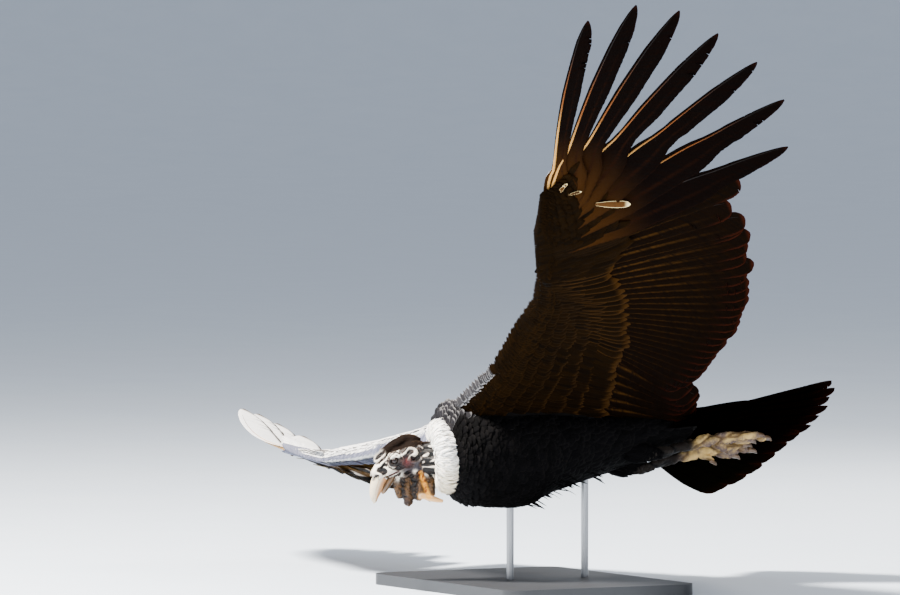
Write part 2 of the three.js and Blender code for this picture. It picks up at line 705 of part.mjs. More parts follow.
// One lock of the collar: it bends over the ring from front to rear and lifts towards its tip. The
// bends are angles round the ring's own section, with 0 pointing outward and 90 rearward.
function ruffLock({ centre, axis, side, top }, turn, bends, reach, width) {
  const out = side.clone().multiplyScalar(Math.cos(turn)).addScaledVector(top, Math.sin(turn));
  const round = axis.clone().cross(out);
  const hub = along(centre, out, RUFF.ring);
  return loft(OUTLINES.lock.map(([t, breadth]) => {
    const bend = lerp(bends[0], bends[1], t) * DEG;
    const normal = out.clone().multiplyScalar(Math.cos(bend)).addScaledVector(axis, -Math.sin(bend));
    const { across } = tilted(normal, round, LOCK.tilt);
    const middle = along(hub, normal, lerp(RUFF.tube * 0.7, reach, t));
    const half = breadth * width / 2;
    return [[half, 1], [-half, 1], [-half, -1], [half, -1]]
      .map(([x, z]) => along(along(middle, across, x), normal, z * LOCK.thick / 2));
  }));
}

// White collar: tiers of flat bending locks round a low core.
function ruff() {
  const frame = collarFrame();
  const place = new THREE.Matrix4().makeBasis(frame.side, frame.top, frame.axis).setPosition(frame.centre);
  const core = new THREE.TorusGeometry(RUFF.ring, RUFF.tube, 6, 16).applyMatrix4(place);
  const locks = [];
  for (let tier = 0; tier < RUFF.tiers; tier += 1) {
    for (let i = 0; i < RUFF.locks; i += 1) {
      const turn = ((i + tier / 2) / RUFF.locks) * Math.PI * 2;
      const start = RUFF.start + tier * RUFF.step;
      const reach = RUFF.reach * random(0.9, 1.08);
      const width = RUFF.width * random(0.9, 1.1);
      locks.push(ruffLock(frame, turn, [start, start + RUFF.bend], reach, width));
    }
  }
  return fuse([core, ...locks], [trunk(GAP), neck(GAP * 2), onHead(skull(GAP)), ...wattleForms(GAP)]);
}

// Legs

// Leg trailing under the tail: shank, three long toes and a short hind toe, each with its claw.
function leg(side) {
  const at = ([x, y, z]) => vec(side * x, y, z);
  const heel = at(LEG.heel);
  const ball = at(LEG.ball);
  const pieces = [tube([at(LEG.hip), heel, mix(heel, ball, 0.5), ball], LEG.shank, 10)];
  LEG.toes.forEach(([x, y, z, thick]) => {
    const tip = at([x, y, z]);
    const forward = tip.clone().sub(ball).normalize();
    const middle = mix(ball, tip, 0.5).add(vec(0, 0, 4));
    pieces.push(tube([along(ball, forward, -8), middle, tip], [thick, thick * 0.9, thick * 0.62], 6));
    const curve = [along(tip, forward, -6), along(tip, forward, 12), along(tip, forward, LEG.claw)];
    curve[1].z -= 3;
    curve[2].z -= 12;
    pieces.push(tube(curve, [thick * 0.5, thick * 0.42, 1], 5));
  });
  return fuse(pieces, [trunk(GAP), ...tailForms(GAP)]);
}

// Stand

function standBase() {
  const shape = new THREE.Shape();
  const halfX = BASE.width / 2;
  const halfY = BASE.depth / 2;
  const inX = halfX - BASE.corner;
  const inY = halfY - BASE.corner;
  shape.moveTo(-inX, -halfY);
  shape.lineTo(inX, -halfY);
  shape.absarc(inX, -inY, BASE.corner, -Math.PI / 2, 0, false);
  shape.absarc(inX, inY, BASE.corner, 0, Math.PI / 2, false);
  shape.absarc(-inX, inY, BASE.corner, Math.PI / 2, Math.PI, false);
  shape.absarc(-inX, -inY, BASE.corner, Math.PI, Math.PI * 1.5, false);
  return new THREE.ExtrudeGeometry(shape, { depth: BASE.thickness, bevelEnabled: false, curveSegments: 6 });
}

// Upright rod: its top end is inside the trunk, in a socket that clears it all round.
function rodTop([x, y]) {
  const place = birdTurn.clone().setPosition(BIRD.x, BIRD.y, BIRD.height);
  const ray = new THREE.Raycaster(vec(x, y, 0), vec(0, 0, 1));
  const body = new THREE.Mesh(trunk().applyMatrix4(place), new THREE.MeshStandardMaterial());
  return ray.intersectObject(body)[0].point.z + ROD.sunk;
}

function rod([x, y], grow = 0) {
  const top = rodTop([x, y]) + grow;
  const bottom = BASE.thickness + GAP;
  const cylinder = new THREE.CylinderGeometry(ROD.radius + grow, ROD.radius + grow, top - bottom, 16);
  return cylinder.rotateX(Math.PI / 2).translate(x, y, (top + bottom) / 2);
}

function trunkNode() {
  const intoBird = birdTurn.clone().setPosition(BIRD.x, BIRD.y, BIRD.height).invert();
  return fuse([trunk()], [ROD.front, ROD.rear].map((at) => rod(at, GAP).applyMatrix4(intoBird)));
}

function node(name, geometry, look) {
  const mesh = new THREE.Mesh(geometry, new THREE.MeshStandardMaterial({ metalness: 0, ...look }));
  mesh.name = name;
  return mesh;
}

const bird = new THREE.Group();
bird.rotation.copy(birdAngles);
bird.position.set(BIRD.x, BIRD.y, BIRD.height);
bird.add(
  node('torso', trunkNode(), black),
  node('wing_left', wing(LEFT_WING, false), black),
  node('wing_right', wing(RIGHT_WING, true), black),
  node('tail', tail(), black),
  node('neck', neckNode(), skin),
  node('ruff', ruff(), white),
  node('head', head(), skin),
  node('comb', comb(), skin),
  node('wattle', wattle(), skin),
  node('beak_upper', beakUpper(), horn),
  node('beak_lower', beakLower(), horn),
  node('eye_left', onHead(eyeball(1, EYE.radius)), eyeColour),
  node('eye_right', onHead(eyeball(-1, EYE.radius)), eyeColour),
  node('leg_left', leg(1), horn),
  node('leg_right', leg(-1), horn),
);

const condor = new THREE.Group();
condor.add(
  bird,
  node('stand_base', standBase(), standColour),
  node('stand_rod_front', rod(ROD.front), { ...standColour, metalness: 0.8 }),
  node('stand_rod_rear', rod(ROD.rear), { ...standColour, metalness: 0.8 }),
);

export default condor;
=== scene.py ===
import math

import bpy
import numpy as np
from mathutils import Matrix, Vector, noise


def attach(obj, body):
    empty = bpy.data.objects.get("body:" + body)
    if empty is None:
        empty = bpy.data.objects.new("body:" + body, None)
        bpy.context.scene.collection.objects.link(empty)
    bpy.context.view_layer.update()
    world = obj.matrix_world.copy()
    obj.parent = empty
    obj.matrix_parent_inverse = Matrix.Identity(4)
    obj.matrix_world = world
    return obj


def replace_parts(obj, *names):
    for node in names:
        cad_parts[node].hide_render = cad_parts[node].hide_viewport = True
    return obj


# Andean condor, adult male, gliding on a display stand. Metres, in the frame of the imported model.
# The bird is worked out level, heading along -Y with its left side at +X, and then banked.

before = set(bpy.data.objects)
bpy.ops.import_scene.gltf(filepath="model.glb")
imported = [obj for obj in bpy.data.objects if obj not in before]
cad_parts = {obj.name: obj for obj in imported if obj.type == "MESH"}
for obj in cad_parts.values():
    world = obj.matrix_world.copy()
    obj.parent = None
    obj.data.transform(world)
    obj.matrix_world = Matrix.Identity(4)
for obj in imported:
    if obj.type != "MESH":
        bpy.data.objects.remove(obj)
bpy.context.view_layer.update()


# Driving sizes, the same as in the solids

BANK = math.radians(25.7)
PITCH = math.radians(0.9)
BIRD_AT = Vector((0.016, 0.076, 0.300))
BIRD_TURN = Matrix.Rotation(PITCH, 4, "X") @ Matrix.Rotation(-BANK, 4, "Y")
BIRD = Matrix.Translation(BIRD_AT) @ BIRD_TURN

# Trunk: y, height of the axis, half width, reach above and below.
TRUNK = np.array([
    (-0.300, 0.000, 0.040, 0.066, 0.040),
    (-0.288, 0.000, 0.080, 0.106, 0.068),
    (-0.266, 0.000, 0.100, 0.114, 0.098),
    (-0.236, 0.000, 0.112, 0.114, 0.110),
    (-0.190, 0.000, 0.118, 0.110, 0.118),
    (-0.128, 0.000, 0.121, 0.102, 0.119),
    (-0.060, 0.002, 0.116, 0.092, 0.098),
    (0.000, 0.005, 0.106, 0.080, 0.083),
    (0.080, 0.010, 0.092, 0.066, 0.067),
    (0.160, 0.018, 0.078, 0.058, 0.052),
    (0.245, 0.026, 0.064, 0.048, 0.038),
])
COAT = 0.005  # depth of the small feathers over the skin

SHOULDER = np.array([0.090, -0.150, 0.050])
ARM = {"span": 0.520, "humerus": 0.285}
ELBOW = ARM["humerus"] / ARM["span"]
HAND = 0.235
LEFT_WING = {
    "arm_rise": 12.6, "arm_sweep": 18, "arm_twist": 1.6,
    "hand_rise": 18.7, "hand_sweep": 15.6, "hand_twist": 18,
    "inner": 11.5, "outer": 88, "spread": 1.09, "lift": 0, "wrist_fan": 38, "elbow_fan": -32,
}
RIGHT_WING = {
    "arm_rise": 20, "arm_sweep": 14.8, "arm_twist": 4,
    "hand_rise": 29.5, "hand_sweep": -9, "hand_twist": 12,
    "inner": 27, "outer": 88.7, "spread": 0.8, "lift": 7, "wrist_fan": 16, "elbow_fan": -26,
}
PRIMARY_LENGTH = [0.428, 0.404, 0.436, 0.552, 0.602, 0.616, 0.614, 0.614, 0.580, 0.500]
PRIMARY_TURN = [10.4, 7.2, 4.2, -2.4, -1, 0, 0.7, 0.3, -0.9, -1.2]
PRIMARIES = len(PRIMARY_LENGTH)
FIRST_FINGER = 3
FAR_PALE = 5  # first feather of the far hand whose silver above, a painted sun glare, runs to its tip
# Share of each finger's length at which it narrows
FINGER_NOTCH = (0.60, 0.60, 0.45, 0.34, 0.25, 0.18, 0.08)
# Breadth left there, as a share of the widest
FINGER_WAIST = (0.59, 0.57, 0.54, 0.50, 0.46, 0.42, 0.35)
# How early each finger's shaft turns from pale to brown
FINGER_WARM = (2.5, -0.9, -0.5, 0.0, 0.0, 0.6, -0.6)
SECONDARIES = 22
TERTIALS = 7
TAIL = {
    "root": 0.246, "height": 0.034, "length": 0.372, "shorter": 0.030, "fan": 34, "turn": 4,
    "lift": 1.5, "twist": -3.2, "feathers": 12, "spacing": 0.072,
}

HEAD_TURN = math.radians(-28)
HEAD_DOWN = math.radians(40)
EYE_AT = Vector((-0.060, -0.386, -0.015))
HEAD = (
    BIRD_TURN.inverted() @ Matrix.Translation(EYE_AT)
    @ Matrix.Rotation(HEAD_TURN, 4, "Z") @ Matrix.Rotation(HEAD_DOWN, 4, "X")
)
NECK_START = np.array([0.0, -0.270, 0.004])
NECK_RADII = np.array([0.046, 0.042, 0.040, 0.038, 0.034])
RUFF = {"forward": 0.014, "ring": 0.049, "tube": 0.017, "flat": 0.45, "full": 0.3, "locks": 2440}

# Head sections: forward, above, lean in degrees, half width, reach up and down.
SKULL = np.array([
    (-0.046, -0.030, 44, 0.033, 0.034, 0.034),
    (-0.036, -0.017, 34, 0.036, 0.037, 0.035),
    (-0.020, -0.008, 14, 0.035, 0.033, 0.034),
    (-0.006, -0.004, 4, 0.030, 0.030, 0.034),
    (0.008, -0.002, 0, 0.026, 0.027, 0.033),
    (0.022, -0.001, 0, 0.022, 0.025, 0.029),
    (0.036, 0.000, -6, 0.017, 0.020, 0.024),
])
COMB = np.array([
    (0.034, 0.024, -24, 0.005, 0.005, 0.004),
    (0.026, 0.026, -14, 0.010, 0.009, 0.009),
    (0.012, 0.026, -6, 0.011, 0.012, 0.013),
    (0.002, 0.025, 0, 0.015, 0.014, 0.016),
    (-0.014, 0.023, 5, 0.014, 0.016, 0.015),
    (-0.028, 0.021, 14, 0.019, 0.016, 0.017),
    (-0.042, 0.016, 28, 0.016, 0.017, 0.014),
    (-0.056, 0.008, 48, 0.014, 0.013, 0.010),
    (-0.067, -0.001, 70, 0.005, 0.005, 0.005),
])
CERE = np.array([
    (0.020, 0.001, 0, 0.0180, 0.0220, 0.0170),
    (0.034, 0.003, -6, 0.0180, 0.0185, 0.0160),
    (0.046, 0.001, -14, 0.0165, 0.0165, 0.0165),
    (0.055, -0.004, -26, 0.0142, 0.0150, 0.0155),
    (0.061, -0.009, -34, 0.0100, 0.0105, 0.0110),
])
BILL_UPPER = np.array([
    (0.046, -0.004, -14, 0.0140, 0.0145, 0.0170),
    (0.058, -0.009, -28, 0.0131, 0.0140, 0.0170),
    (0.072, -0.018, -42, 0.0113, 0.0130, 0.0160),
    (0.084, -0.030, -62, 0.0080, 0.0108, 0.0105),
    (0.0930, -0.0415, -88, 0.0028, 0.0040, 0.0040),
])
BILL_LOWER = np.array([
    (0.026, -0.022, 0, 0.013, 0.008, 0.008),
    (0.048, -0.028, -8, 0.011, 0.007, 0.008),
    (0.062, -0.033, -16, 0.007, 0.005, 0.006),
    (0.069, -0.036, -20, 0.003, 0.002, 0.003),
])
# Throat skin with the head held level: behind the eyes, top, bottom, half width.
WATTLE = np.array([
    (-0.005, -0.036, -0.065, 0.007),
    (0.004, -0.030, -0.080, 0.012),
    (0.014, -0.026, -0.084, 0.009),
    (0.026, -0.024, -0.092, 0.014),
    (0.038, -0.022, -0.086, 0.010),
    (0.050, -0.020, -0.086, 0.017),
    (0.062, -0.020, -0.080, 0.012),
    (0.076, -0.032, -0.079, 0.016),
    (0.084, -0.044, -0.074, 0.008),
])
WATTLE_BULB = {"radius": 0.010, "behind": 0.026, "above": -0.088}
EYE = {"radius": 0.0085, "side": 0.024, "forward": 0.002, "above": 0.002}
LID = {"ring": 0.0094, "tube": 0.0036, "stretch": 1.25, "out": 0.0040}
EAR = {"forward": -0.031, "above": -0.018, "side": 0.034, "radius": 0.008, "rim": 0.002,
       "narrow": 0.65}
NOSTRIL = {"forward": 0.029, "above": 0.009, "length": 0.013, "height": 0.005}
MOUTH = {"corner": 0.010, "above": -0.015}
LEG = {
    "hip": (0.038, 0.130, -0.024), "heel": (0.038, 0.196, -0.034), "ball": (0.034, 0.336, -0.006),
    "shank": (0.020, 0.013, 0.011, 0.014), "claw": 0.015, "tucked": -0.02,
    "toes": (
        (0.012, 0.452, -0.002, 0.0115), (0.035, 0.476, -0.006, 0.0120),
        (0.058, 0.446, -0.008, 0.0115), (0.030, 0.372, -0.032, 0.0085),
    ),
}
PATCH = 0.003  # breadth of one small feather's patch in the bake map
SEEDS = {
    "flight_left": 21, "flight_right": 22, "pale_bases": 35, "alula": 41, "trunk": 51,
    "tufts": 61, "tail": 71, "ruff": 81, "trousers": 91,
}
COVERT_SEEDS = {(1, 1): 35, (1, -1): 33, (-1, 1): 32, (-1, -1): 30}  # by the wing's side and face


# Vectors and curves

def unit(v):
    return v / np.linalg.norm(v, axis=-1, keepdims=True)


def lerp(a, b, t):
    return a + (b - a) * t


def smooth(low, high, x):
    t = np.clip((x - low) / (high - low), 0.0, 1.0)
    return t * t * (3 - 2 * t)


def bell(x):
    return np.exp(-(x**2))


def sample(curve, t):
    """Value at t on a curve given as (place, value) points."""
    return np.interp(t, *zip(*curve))


def refine(table, steps):
    """The rows of a table with more between each two, on a smooth curve through them."""
    table = np.asarray(table, float)
    padded = np.concatenate([[2 * table[0] - table[1]], table, [2 * table[-1] - table[-2]]])
    place = np.linspace(0, len(table) - 1, (len(table) - 1) * steps + 1)
    i = np.minimum(place.astype(int), len(table) - 2)
    t = (place - i).reshape((-1,) + (1,) * (table.ndim - 1))
    p0, p1, p2, p3 = (padded[i + k] for k in range(4))
    return 0.5 * (
        2 * p1 + (p2 - p0) * t + (2 * p0 - 5 * p1 + 4 * p2 - p3) * t**2
        + (3 * p1 - p0 - 3 * p2 + p3) * t**3
    )


def moved(matrix, points):
    """Points carried by a matrix, in any shape that ends in 3."""
    m = np.array(matrix)
    return points @ m[:3, :3].T + m[:3, 3]


def circle(count):
    return np.arange(count) * 2 * math.pi / count


def packed(*parts):
    return np.stack(np.broadcast_arrays(*parts), -1)


def squared(vectors, others):
    """Unit vectors turned to stand at a right angle to others."""
    return unit(vectors - others * np.einsum("ij,ij->i", vectors, others)[:, None])


def walked(path):
    """Length of a path up to each of its points."""
    return np.concatenate([[0], np.cumsum(np.linalg.norm(np.diff(path, axis=0), axis=1))])


# Meshes

def placed(name, data):
    made = bpy.data.objects.new(name, data)
    bpy.context.scene.collection.objects.link(made)
    return made


class Batch:
    """Many closed surfaces of four-sided faces, joined into one mesh with their shading values."""

    def __init__(self):
        self.size = 0
        self.points, self.faces, self.bake = [], [], []
        self.values = {}

    def add(self, points, faces, bake, **values):
        self.faces.append(faces + self.size)
        self.points.append(points.reshape(-1, 3))
        self.bake.append(bake.reshape(-1, 2))
        for name, value in values.items():
            self.values.setdefault(name, []).append(value.reshape(-1, 3))
        self.size += len(self.points[-1])

    def build(self, name, material, slot="plumage_black"):
        if not self.points:
            return None
        points, faces, bake = (np.concatenate(v) for v in (self.points, self.faces, self.bake))
        values = {key: np.concatenate(parts) for key, parts in self.values.items()}
        return piece(name, moved(BIRD, points), faces, material, slot, bake, **values)


def piece(name, points, faces, material, slot, bake=None, **values):
    """A mesh object that rides on the body."""
    mesh = bpy.data.meshes.new(name)
    mesh.from_pydata(points, [], faces.tolist() if isinstance(faces, np.ndarray) else faces)
    mesh.polygons.foreach_set("use_smooth", np.ones(len(mesh.polygons), bool))
    for key, value in values.items():
        layer = mesh.attributes.new(key, "FLOAT_VECTOR", "POINT")
        layer.data.foreach_set("vector", np.ascontiguousarray(value, np.float32).ravel())
    if bake is not None:
        corners = np.zeros(len(mesh.loops), np.int32)
        mesh.loops.foreach_get("vertex_index", corners)
        layer = mesh.uv_layers.new(name="OFBake")
        layer.data.foreach_set("uv", bake[corners].astype(np.float32).ravel())
    mesh.materials.append(material)
    made = placed(name, mesh)
    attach(made, "root")
    return made


def tube_faces(count, sides):
    """Four-sided faces between rings of points that follow one another."""
    a = np.arange((count - 1) * sides).reshape(count - 1, sides)
    b = np.roll(a, -1, 1)
    return np.stack([a, b, b + sides, a + sides], -1).reshape(-1, 4)


def rings_mesh(rings):
    """Points and faces of a closed surface through rings of points, with a fan on each end."""
    count, sides = rings.shape[:2]
    points = np.concatenate([rings.reshape(-1, 3), rings[0].mean(0)[None], rings[-1].mean(0)[None]])
    first, last, base = count * sides, count * sides + 1, (count - 1) * sides
    faces = tube_faces(count, sides).tolist()
    faces += [[(k + 1) % sides, k, first] for k in range(sides)]
    faces += [[base + k, base + (k + 1) % sides, last] for k in range(sides)]
    return points, faces


def merged(shapes, voxel, rounds):
    """One smooth surface round several closed shapes: its points, normals and faces."""
    points, faces, start = [], [], 0
    for shape_points, shape_faces in shapes:
        points.append(shape_points)
        faces += [[corner + start for corner in face] for face in shape_faces]
        start += len(shape_points)
    mesh = bpy.data.meshes.new("shapes")
    mesh.from_pydata(np.concatenate(points), [], faces)
    holder = placed("shapes", mesh)
    remesh = holder.modifiers.new("Remesh", "REMESH")
    remesh.mode = "VOXEL"
    remesh.voxel_size = voxel
    relax = holder.modifiers.new("Smooth", "SMOOTH")
    relax.factor = 0.5
    relax.iterations = rounds
    result = bpy.data.meshes.new_from_object(
        holder.evaluated_get(bpy.context.evaluated_depsgraph_get())
    )
    bpy.data.objects.remove(holder)
    vectors = []
    for key, kind in (("co", float), ("normal", np.float32)):
        vectors.append(np.zeros(len(result.vertices) * 3, kind))
        result.vertices.foreach_get(key, vectors[-1])
    faces = [list(face.vertices) for face in result.polygons]
    return vectors[0].reshape(-1, 3), vectors[1].reshape(-1, 3).astype(float), faces


# Materials

class Value:
    """A number or colour that a material's nodes work out, with the sums that the looks use."""

    def __init__(self, finish, socket):
        self.finish, self.socket = finish, socket

    def math(self, operation, *others, clamp=False):
        return self.finish.node("Math", self, *others, operation=operation, use_clamp=clamp)

    def __sub__(self, other):
        return self.math("SUBTRACT", other)

    def __mul__(self, other):
        return self.math("MULTIPLY", other)

    def __abs__(self):
        return self.math("ABSOLUTE")

    def line(self, slope, start, clamp=False):
        """The value times a slope, and a start added."""
        return self.math("MULTIPLY_ADD", slope, start, clamp=clamp)

    def most(self, other):
        return self.math("MAXIMUM", other)

    def least(self, other):
        return self.math("MINIMUM", other)

    def between(self, low, high):
        """Rises smoothly from 0 where the value is low to 1 where it is high."""
        return self.finish.node("MapRange", self, low, high, interpolation_type="SMOOTHSTEP")

    def mix(self, start, end):
        """The first colour where the value is 0, the second where it is 1."""
        feeds = {0: self, 6: start, 7: end}
        return self.finish.node("Mix", output=2, feeds=feeds, data_type="RGBA", blend_type="MIX")


class Finish:
    """A procedural material, built up node by node on one shader."""

    def __init__(self, name, radius=None, **constants):
        self.material = bpy.data.materials.new(name)
        self.material.use_nodes = True
        self.tree = self.material.node_tree
        self.shader = self.tree.nodes["Principled BSDF"]
        if radius:
            constants["Subsurface_Radius"] = radius
        for socket, value in constants.items():
            self.shader.inputs[socket.replace("_", " ")].default_value = value

    def feed(self, socket, value):
        if isinstance(value, Value):
            self.tree.links.new(value.socket, socket)
        elif value is not None:
            socket.default_value = value

    def make(self, kind, inputs=(), feeds=None, **settings):
        made = self.tree.nodes.new("ShaderNode" + kind)
        for key, value in settings.items():
            setattr(made, key, value)
        for key, value in (feeds or dict(enumerate(inputs))).items():
            self.feed(made.inputs[key], value)
        return made

    def node(self, kind, *inputs, output=0, feeds=None, **settings):
        return Value(self, self.make(kind, inputs, feeds, **settings).outputs[output])

    def parts(self, vector):
        return [Value(self, out) for out in self.make("SeparateXYZ", (vector,)).outputs]

    def values(self, name):
        """The three numbers that a mesh carries under a name."""
        return self.parts(self.node("Attribute", output="Vector", attribute_name=name))

    def place(self):
        return self.node("TexCoord", output="Object")

    def noise(self, scale, detail=4.0, vector=None):
        feeds = {"Scale": scale, "Detail": detail, "Roughness": 0.55,
                 "Vector": vector or self.place()}
        return self.node("TexNoise", feeds=feeds)

    def bump(self, height, strength, distance, under=None):
        feeds = {"Strength": strength, "Distance": distance, "Height": height, "Normal": under}
        return self.node("Bump", feeds=feeds)

    def done(self, colour, rough=None, normal=None, specular=None):
        sockets = {
            "Base Color": colour, "Roughness": rough, "Normal": normal,
            "Specular IOR Level": specular,
        }
        for socket, value in sockets.items():
            self.feed(self.shader.inputs[socket], value)
        return self.material


def rgb(red, green, blue):
    """A linear colour from one as seen, each part from 0 to 255."""
    return tuple(((c / 255) ** 2.2) for c in (red, green, blue)) + (1.0,)


BARB_SLANT = 0.8  # how far a barb runs along the feather for each step away from the quill
BARB_SPACING = 0.0011


class Feather(Finish):
    """A finish for feathers, with the values that vanes() writes and streaks along the barbs."""

    def __init__(self, name, streak_scale=160.0, **constants):
        super().__init__(name, **constants)
        self.along, self.edge, self.tone = self.values("vane")
        self.run, away, self.mark = self.values("metric")
        self.run = self.run - away * BARB_SLANT
        place = self.node("CombineXYZ", self.run, away * 0.12, self.tone)
        self.streak = self.noise(streak_scale, 3.0, place)

    def feathered(self, colour, rough, rib, rib_depth, streak, streak_depth):
        """The finished material, with fine ribs along the barbs under the streaks."""
        wave = (self.run * (2 * math.pi / BARB_SPACING)).math("SINE").line(0.5, 0.5)
        ribs = self.bump(wave, rib, rib_depth)
        return self.done(colour, rough, self.bump(self.streak, streak, streak_depth, ribs))


def flight_finish(name, deep, light, line, worn_colour, worn_share, tip=None, tip_from=None,
                  base=None):
    """Flight feathers: silvery above, and below streaked, with a line on each and a worn edge. The
    silver above is the real white panel on the inner feathers and a painted sun glare on the black
    hand feathers.
    """
    finish = Feather(name, Specular_IOR_Level=0.02)
    along, edge, streak = finish.along, finish.edge, finish.streak
    below = streak.mix(deep, light)
    if base:
        below = (along.between(0.44, 0.14) * 0.75).mix(below, base)
    lines = edge.between(-0.70, -0.60) * edge.between(-0.50, -0.58)
    lines = lines.most(edge.between(-0.94, -0.99) * 0.6)
    near = along.between(0.95, 0.30) * streak.between(0.2, 0.7)
    below = (lines * near).mix(below, line)
    worn = (abs(edge).between(0.85, 1.0) * along.between(0.8, 0.97)).most(along.between(0.972, 1.0))
    below = (worn * worn_share).mix(below, worn_colour)
    dark_rim = edge.between(-0.80, -0.97).most(along.between(0.96, 0.995))
    # Silver above: real white on the inner feathers, painted sun glare on the black hand feathers;
    # a tip colour brings back their own dark colour where it is given.
    above = dark_rim.mix(streak.mix(rgb(176, 176, 180), rgb(236, 234, 230)), rgb(70, 60, 52))
    if tip:
        above = along.between(tip_from, tip_from + 0.25).mix(above, tip)
    colour = finish.mark.between(-0.2, 0.2).mix(below, above)
    return finish.feathered(colour, streak.line(0.25, 0.65), 0.35, 0.0004, 0.5, 0.0010)


def tail_finish():
    finish = Feather("tail_feather", Specular_IOR_Level=0.0)
    base = finish.streak.mix(rgb(3, 2, 2), rgb(14, 9, 6))
    olive = finish.tone.between(0.45, 0.9).mix(base, rgb(12, 11, 7))
    rim = abs(finish.edge).math("POWER", 5.0).line(0.7, 0.08)
    worn = finish.along.between(0.84, 1.0).math("MULTIPLY", rim, clamp=True)
    colour = worn.mix(olive, rgb(48, 22, 13))
    return finish.feathered(colour, finish.streak.line(0.2, 0.7), 0.35, 0.0004, 0.5, 0.0010)


def coat_finish(name, deep, light, rim_colour, specular=0.06, rough=0.6, back=None):
    """Small feathers, streaked from deep to light. The mark says how far the rim stands out."""
    finish = Feather(name, 240.0, Specular_IOR_Level=specular)
    base = finish.tone.line(0.5, finish.streak * 0.6, clamp=True).mix(deep, light)
    rim = finish.along.most(abs(finish.edge)).between(0.80, 0.99) * finish.mark.most(0.0)
    colour = rim.mix(base, rim_colour)
    if back:
        colour = finish.mark.between(-0.4, -0.8).mix(colour, back)
    return finish.feathered(colour, finish.streak.line(0.3, rough), 0.4, 0.0003, 0.35, 0.0006)


def quill_finish():
    """Shafts: pale golden at the base, dark towards the tip."""
    finish = Finish("quill", Specular_IOR_Level=0.15)
    along, _, tone = finish.values("vane")
    grain = finish.noise(300.0, 2.0)
    place = tone.line(0.08, along)
    colour = grain.mix(rgb(152, 100, 42), rgb(206, 158, 86))
    colour = place.between(0.36, 0.56).mix(colour, rgb(112, 62, 22))
    colour = place.between(0.54, 0.84).mix(colour, rgb(20, 12, 7))
    return finish.done(colour, grain.line(0.2, 0.45))


def ruff_finish():
    finish = Finish(
        "ruff_down", (0.006, 0.005, 0.004), Sheen_Weight=0.5, Specular_IOR_Level=0.25,
        Subsurface_Weight=0.15,
    )
    along, _, tone = finish.values("vane")
    low = finish.values("metric")[2]
    colour = tone.mix(rgb(252, 246, 237), rgb(255, 253, 248))
    colour = (low * 0.8).mix(colour, rgb(252, 226, 178))
    colour = (along.between(0.35, 0.0) * 0.15).mix(colour, rgb(214, 198, 176))
    return finish.done(colour, tone.line(0.1, 0.8))


def skin_finish():
    """Bare head: painted shade in the hollows and painted highlights on the folds, a dark comb
    with a painted highlight on its top, and red and orange patches. Plain elsewhere."""
    finish = Finish("bare_skin", (0.004, 0.0015, 0.001), Subsurface_Weight=0.03)
    ridge, comb, throat = finish.values("fold")
    pale, red, orange = finish.values("patch")
    fine, broad = finish.noise(420.0, 5.0), finish.noise(70.0, 4.0)
    height = broad.line(0.30, ridge - 0.15)
    # Fold crests are painted lighter and hollows darker over the skin's own dark colour: painted
    # highlight and shade. Where the pale weight is high the crests take near white painted sunlit
    # highlights.
    half_lit, lit = height.between(0.22, 0.46), height.between(0.42, 0.70)
    dark = fine.mix(rgb(6, 4, 4), rgb(22, 15, 13))
    flesh = fine.mix(rgb(40, 29, 24), rgb(66, 49, 40))
    bright = fine.mix(rgb(222, 202, 176), rgb(254, 247, 234))
    mild = fine.mix(rgb(24, 20, 26), rgb(44, 37, 44))
    colour = lit.mix(half_lit.mix(dark, flesh), pale.mix(mild, bright))
    hanging = lit.mix(half_lit.mix(rgb(12, 8, 6), rgb(38, 26, 16)), rgb(78, 54, 28))
    colour = throat.mix(colour, (pale * 0.9).mix(hanging, colour))
    colour = (red * 0.92).mix(colour, throat.mix(rgb(74, 8, 4), rgb(26, 4, 2)))
    colour = (orange * 0.95).mix(colour, half_lit.mix(rgb(140, 66, 14), rgb(236, 160, 50)))
    crown = finish.noise(150.0, 5.0).mix(rgb(9, 6, 4), rgb(28, 19, 13))
    # The comb's upward-facing skin is painted lighter: a painted highlight of light from above.
    upward = finish.parts(finish.node("NewGeometry", output="Normal"))[2]
    crown = (upward.between(0.84, 0.99) * 0.6).mix(crown, rgb(66, 48, 30))
    dull = comb.least(1.0)
    colour = dull.mix(colour, crown)
    colour = comb.between(1.2, 1.8).mix(colour, rgb(11, 9, 8))
    # Silver skin under the far wing: painted sun glare.
    colour = comb.between(2.4, 2.6).mix(colour, rgb(206, 204, 202))
    pores = finish.node("TexVoronoi", feeds={"Scale": 520.0, "Vector": finish.place()},
                        feature="F1")
    rough = dull.line(0.28, fine.line(0.25, 0.42))
    normal = finish.bump(fine, 0.35, 0.0008, finish.bump(pores, 0.35, 0.0006))
    return finish.done(colour, rough, normal, dull.line(-0.26, 0.32))


def horn_finish(name, light, dark, from_end, to_end, under=None):
    """Bill or claw: one colour at the root and another at the tip, with faint growth lines."""
    finish = Finish(
        name, (0.003, 0.002, 0.001), Specular_IOR_Level=0.5, Coat_Weight=0.2,
        Subsurface_Weight=0.06,
    )
    along, around, tone = finish.values("vane")
    grain = finish.noise(220.0, 5.0)
    growth = finish.noise(5.0, 3.0, finish.node("CombineXYZ", along * 9.0, around * 2.0, tone))
    colour = grain.line(0.16, along).between(from_end, to_end).mix(dark, light)
    colour = (growth * 0.5).mix(colour, rgb(150, 108, 66))
    # A warmer brown on the underside of the bill: painted shade.
    if under:
        below = around.between(0.52, 0.60) * around.between(0.98, 0.90)
        colour = (below * 0.8).mix(colour, under)
    return finish.done(colour, grain.line(0.3, 0.22), finish.bump(growth, 0.25, 0.0008))


